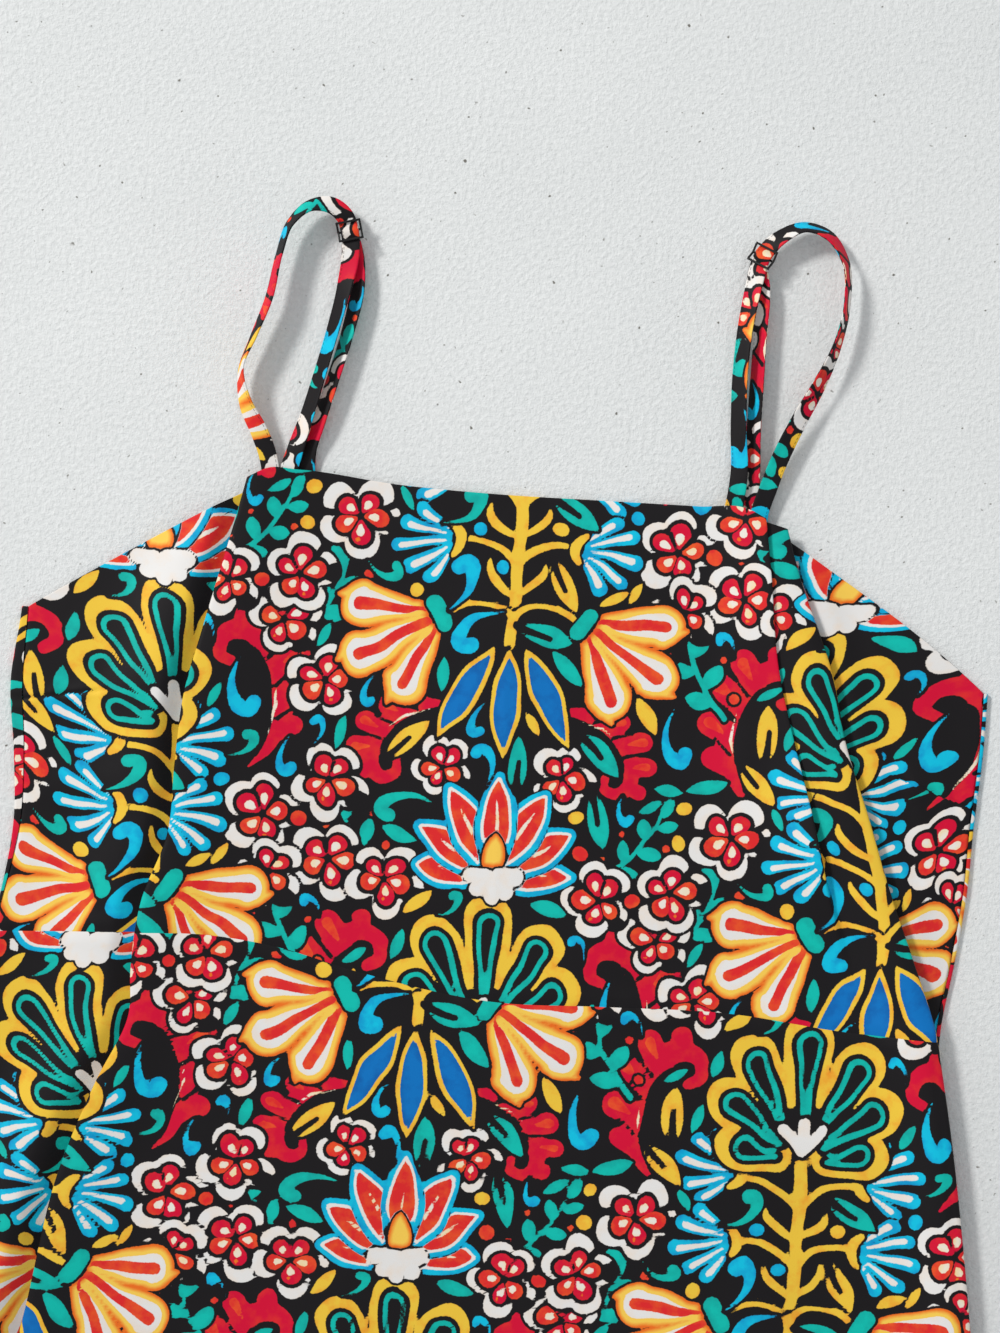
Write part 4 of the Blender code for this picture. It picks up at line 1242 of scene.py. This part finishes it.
def printed_cloth(colours):
    """Matte woven cloth with the print's colours laid over a black ground."""
    made, shader, start = new_material("printed_cloth")
    cut = start.node("ShaderNodeAttribute", {"attribute_name": "cut"}, output="Vector")
    wash = cut.noise(0.085, 3.0, 0.6)
    bleed = cut.noise(0.6, 2.0, 0.7)
    faded = cut.noise(0.012, 2.0)
    fine = cut.noise(1.6, 2.0)
    colour = start.mixed((fine - 0.5) * 0.7 + 0.5, colours.ground, colours.ground_worn)
    # Each colour of the print ends raggedly and is washed unevenly with its second tint.
    edge_noise = (bleed - 0.5) * 0.9 + PRINT_INSET
    for layer, water in WASHES.items():
        field = start.node("ShaderNodeAttribute", {"attribute_name": "print_" + layer}, output="Fac")
        inside = (0.5 - (field + edge_noise) * (1 / PRINT_EDGE)).clamped()
        shift = ((wash - 0.5) * water.blotch + water.start + (field + 2.0) * water.depth).clamped()
        tint = start.mixed(shift, getattr(colours, layer), getattr(colours, layer + "_wet"))
        colour = start.mixed(inside, colour, tint)
    colour = start.mixed((faded - 0.45) * 0.22, colour, colours.ground_worn)
    # The weave stands up from the cloth, and a strap's dashed edge stitching sinks into it.
    warp, weft = (start.node(
        "ShaderNodeTexWave", {"wave_type": "BANDS", "bands_direction": direction},
        {"Vector": cut, "Scale": 0.55, "Distortion": 0.6},
    ) for direction in "XY")
    _across, run, edge = (
        start.node("ShaderNodeSeparateXYZ", {}, {0: cut}, output=axis) for axis in range(3)
    )
    dashes = (start.maths("SINE", run * (2 * math.pi / STITCH_LONG)) * 3.0 + 1.5).clamped()
    stitches = (1.0 - start.maths("ABSOLUTE", edge - STITCH_IN) * 2.6).clamped() * dashes
    colour = start.mixed(stitches * 0.75, colour, colours.ground)
    weave = warp * weft * 0.5 + fine * 0.8 - stitches * 2.0
    feed(start, shader, normal=weave.bump(0.25, 0.0002), base_color=colour,
         roughness=0.58 + (fine - 0.5) * 0.14, specular_ior_level=0.19)
    return made


def black_lacquer(colours):
    """Glossy black enamel, worn a little and never quite even."""
    made, shader, start = new_material("black_lacquer")
    smear = start.node("ShaderNodeTexCoord", output="Object").noise(700.0, 3.0)
    feed(start, shader, base_color=start.mixed(smear, colours.lacquer, colours.lacquer_worn),
         normal=smear.bump(0.08, 0.0002), roughness=0.22 + smear * 0.2, specular_ior_level=0.35)
    return made


def pale_plaster(colours):
    """The floor: fine pale stipple with tiny dark specks, with painted shade in its hollows and
    painted light on its tops.
    """
    made, shader, start = new_material("pale_plaster")
    place = start.node("ShaderNodeTexCoord", output="Object")
    stipple = place.noise(340.0, 4.0, 0.65)
    cloudy = place.noise(6.0, 2.0)
    specks = place.noise(260.0, 1.0)
    # The stipple's hollows are painted darker as shade and its tops lighter as light, over a cloudy
    # tone that varies at random.
    stipple_shade_and_tone = ((stipple - 0.5) * 1.6 + (cloudy - 0.5) * 0.5 + 0.5).clamped()
    colour = start.mixed(stipple_shade_and_tone, colours.floor_shaded_hollows, colours.floor_lit_tops)
    # Only the highest spots of this noise are specks.
    colour = start.mixed(((specks - 0.735) * 14.0).clamped(), colour, colours.floor_speck)
    feed(start, shader, base_color=colour, normal=stipple.bump(0.75, 0.0014), roughness=0.9,
         specular_ior_level=0.2)
    return made


def shared(name, make):
    """A material that the pieces share, made once."""
    return bpy.data.materials.get(name) or make(bpy.context.scene.dress_colours)


def colour_prop(name, red, green, blue):
    """A colour of the panel, given as a screen shows it."""
    return bpy.props.FloatVectorProperty(
        name=name, description=f"{name}, as light", subtype="COLOR", size=3, min=0, max=1,
        default=from_screen(red, green, blue),
    )


def length_prop(name, description, millimetres):
    """A length of the panel, given in millimetres."""
    return bpy.props.FloatProperty(
        name=name, description=description, default=millimetres * MM, min=0, unit="LENGTH",
        subtype="DISTANCE", precision=5,
    )


class DressSizes(bpy.types.PropertyGroup):
    """Sizes that a maker would change."""

    pucker: length_prop("Seam pucker", "Height of the gathers along the waist seam", 0.17)
    hem_turn: length_prop("Hem turning", "Depth of cloth turned in at the hem", 12)
    edge_turn: length_prop("Edge turning", "Depth of cloth turned in at the neck and arms", 8)
    bodice_step: length_prop("Bodice grid", "Space between the points of the bodice", 1.5)
    skirt_step: length_prop("Skirt grid", "Space between the points of the skirt", 1.9)
    back_step: length_prop("Back grid", "Space between the points of the back", 3.6)


class DressColours(bpy.types.PropertyGroup):
    """Colours of the print, the sliders and the floor."""

    ground: colour_prop("Ground", 14, 11, 14)
    ground_worn: colour_prop("Worn ground", 23, 20, 23)
    lacquer: colour_prop("Lacquer", 8, 8, 9)
    lacquer_worn: colour_prop("Worn lacquer", 22, 21, 22)
    # The floor's painted shade in the stipple's hollows, and its painted light on the stipple's
    # tops.
    floor_shaded_hollows: colour_prop("Floor, hollows", 214, 217, 217)
    floor_lit_tops: colour_prop("Floor, tops", 238, 240, 240)
    floor_speck: colour_prop("Floor, specks", 120, 118, 112)


for layer_name, layer_wash in WASHES.items():
    title = layer_name.capitalize()
    DressColours.__annotations__[layer_name] = colour_prop(title, *layer_wash.colour)
    DressColours.__annotations__[layer_name + "_wet"] = colour_prop(title + ", wet", *layer_wash.wet)


def sizes_in_mm(context):
    """The sizes of the panel, in millimetres."""
    kept = context.scene.dress_sizes
    return SimpleNamespace(**{name: getattr(kept, name) / MM for name in DressSizes.__annotations__})


class DRESS_OT_front_bodice(bpy.types.Operator):
    """Lay the front bodice, folded over itself and darted at the bust"""

    bl_idname = "dress.front_bodice"
    bl_label = "Front bodice"

    def execute(self, context):
        sizes = sizes_in_mm(context)
        cells = front_cells(sizes.bodice_step)
        shares = even(round(BODICE_LENGTH / sizes.bodice_step))
        points = front_points(cells, bodice_top, waist_above, shares, sizes)
        points = with_edges(points, (TOP_RADIUS, sizes.edge_turn), WAIST_TURN)
        lay_sheet("front_bodice", points, (0, 0), DARTS)
        return {"FINISHED"}


class DRESS_OT_front_skirt(bpy.types.Operator):
    """Lay the front skirt from the waist seam to the hem"""

    bl_idname = "dress.front_skirt"
    bl_label = "Front skirt"

    def execute(self, context):
        sizes = sizes_in_mm(context)
        cells = [skirt_cell(*cell) for cell in front_cells(sizes.skirt_step)]
        fine = SKIRT_FINE * even(FINE_ROWS)
        coarse = SKIRT_FINE + (1 - SKIRT_FINE) * even(COARSE_ROWS)
        points = front_points(cells, waist_below, hem_of, np.r_[fine, coarse[1:]], sizes)
        points = with_edges(points, WAIST_TURN, (HEM_RADIUS, sizes.hem_turn))
        lay_sheet("front_skirt", points, (37, 120))
        return {"FINISHED"}


class DRESS_OT_back_bodice(bpy.types.Operator):
    """Lay the back bodice on the floor, its sides turned up to the front"""

    bl_idname = "dress.back_bodice"
    bl_label = "Back bodice"

    def execute(self, context):
        sizes = sizes_in_mm(context)
        points = back_points(lambda x: along(BACK_TOP, x), lambda x: along(WAIST, x) - SEAM_GAP / 2,
                             even(BACK_BODICE_ROWS), sizes.back_step, BACK_BODICE_WIDTH)
        points = lifted(with_edges(points, (TOP_RADIUS, sizes.edge_turn), WAIST_TURN), sizes)
        lay_sheet("back_bodice", points, (111, 47))
        return {"FINISHED"}


class DRESS_OT_back_skirt(bpy.types.Operator):
    """Lay the back skirt on the floor"""

    bl_idname = "dress.back_skirt"
    bl_label = "Back skirt"

    def execute(self, context):
        sizes = sizes_in_mm(context)
        points = back_points(lambda x: along(WAIST, x) + SEAM_GAP / 2,
                             lambda x: hem_drop(x, BACK_HEM_DROP),
                             even(BACK_SKIRT_ROWS), sizes.back_step, BACK_SKIRT_WIDTH)
        points = lifted(with_edges(points, WAIST_TURN, (HEM_RADIUS, sizes.hem_turn)), sizes)
        lay_sheet("back_skirt", points, (19, 205))
        return {"FINISHED"}


class DRESS_OT_straps(bpy.types.Operator):
    """Lay the straps through their sliders, and set the sliders on them"""

    bl_idname = "dress.straps"
    bl_label = "Straps and sliders"

    def execute(self, context):
        for side, course, returning, slider_drop, (across, down) in (
            ("left", LEFT_STRAP, LEFT_RETURN, LEFT_SLIDER_DROP, (70, 40)),
            ("right", RIGHT_STRAP, RIGHT_RETURN, RIGHT_SLIDER_DROP, (96, 150)),
        ):
            seat = strap(f"{side}_strap", course, slider_drop, (across, down))
            slider(f"{side}_slider", seat)
            strap(f"{side}_strap_return", returning, None, (across, down + RETURN_SHIFT))
        return {"FINISHED"}


class DRESS_OT_stage(bpy.types.Operator):
    """Set the floor, the soft light and the camera"""

    bl_idname = "dress.stage"
    bl_label = "Stage"

    def execute(self, context):
        scene = context.scene
        shape = bmesh.new()
        bmesh.ops.create_grid(shape, x_segments=1, y_segments=1, size=FLOOR_SIZE / 2)
        floor = piece("floor", kept_mesh("floor", shape), shared("pale_plaster", pale_plaster))

        world = scene.world or bpy.data.worlds.new("studio")
        scene.world = world
        world.use_nodes = True
        air = world.node_tree.nodes["Background"]
        air.inputs["Color"].default_value = (*AIR_TINT, 1)
        air.inputs["Strength"].default_value = FILL_LIGHT

        window = bpy.data.lights.new("window", "AREA")
        window.shape = "DISK"
        window.size = LAMP_WIDE
        window.spread = LAMP_BEAM
        window.energy = KEY_LIGHT
        window.color = LAMP_TINT
        lamp = in_scene("window", window)
        aim = Vector(LAMP_FROM).normalized()
        lamp.location = Vector((*LAMP_AIM, 0)) + LAMP_AWAY * aim
        lamp.rotation_euler = aim.to_track_quat("Z", "Y").to_euler()

        lens = bpy.data.cameras.new("camera")
        lens.sensor_fit = "HORIZONTAL"
        lens.angle_x = 2 * math.atan(HALF_VIEW / CAMERA_HEIGHT)
        camera = in_scene("camera", lens)
        camera.location = (*CAMERA_AT, CAMERA_HEIGHT)
        camera.rotation_euler = (0, 0, CAMERA_ROLL)
        scene.camera = camera
        scene.view_settings.view_transform = "Standard"
        return {"FINISHED"}


class VIEW3D_PT_dress(bpy.types.Panel):
    """The dress's pieces, sizes and colours"""

    bl_label = "Printed maxi dress"
    bl_space_type = "VIEW_3D"
    bl_region_type = "UI"
    bl_category = "Dress"

    def draw(self, context):
        for operator in OPERATORS:
            self.layout.operator(operator.bl_idname)
        for group in (context.scene.dress_sizes, context.scene.dress_colours):
            for name in group.__annotations__:
                self.layout.prop(group, name)


OPERATORS = (DRESS_OT_stage, DRESS_OT_back_bodice, DRESS_OT_back_skirt, DRESS_OT_front_bodice,
             DRESS_OT_front_skirt, DRESS_OT_straps)
CLASSES = (DressSizes, DressColours, *OPERATORS, VIEW3D_PT_dress)


def register():
    for group in CLASSES:
        bpy.utils.register_class(group)
    bpy.types.Scene.dress_sizes = bpy.props.PointerProperty(type=DressSizes)
    bpy.types.Scene.dress_colours = bpy.props.PointerProperty(type=DressColours)


def unregister():
    del bpy.types.Scene.dress_colours
    del bpy.types.Scene.dress_sizes
    for group in reversed(CLASSES):
        bpy.utils.unregister_class(group)


def main():
    register()
    bpy.ops.dress.stage()
    bpy.ops.dress.back_bodice()
    bpy.ops.dress.back_skirt()
    bpy.ops.dress.front_bodice()
    bpy.ops.dress.front_skirt()
    bpy.ops.dress.straps()


if __name__ == "__main__":
    main()
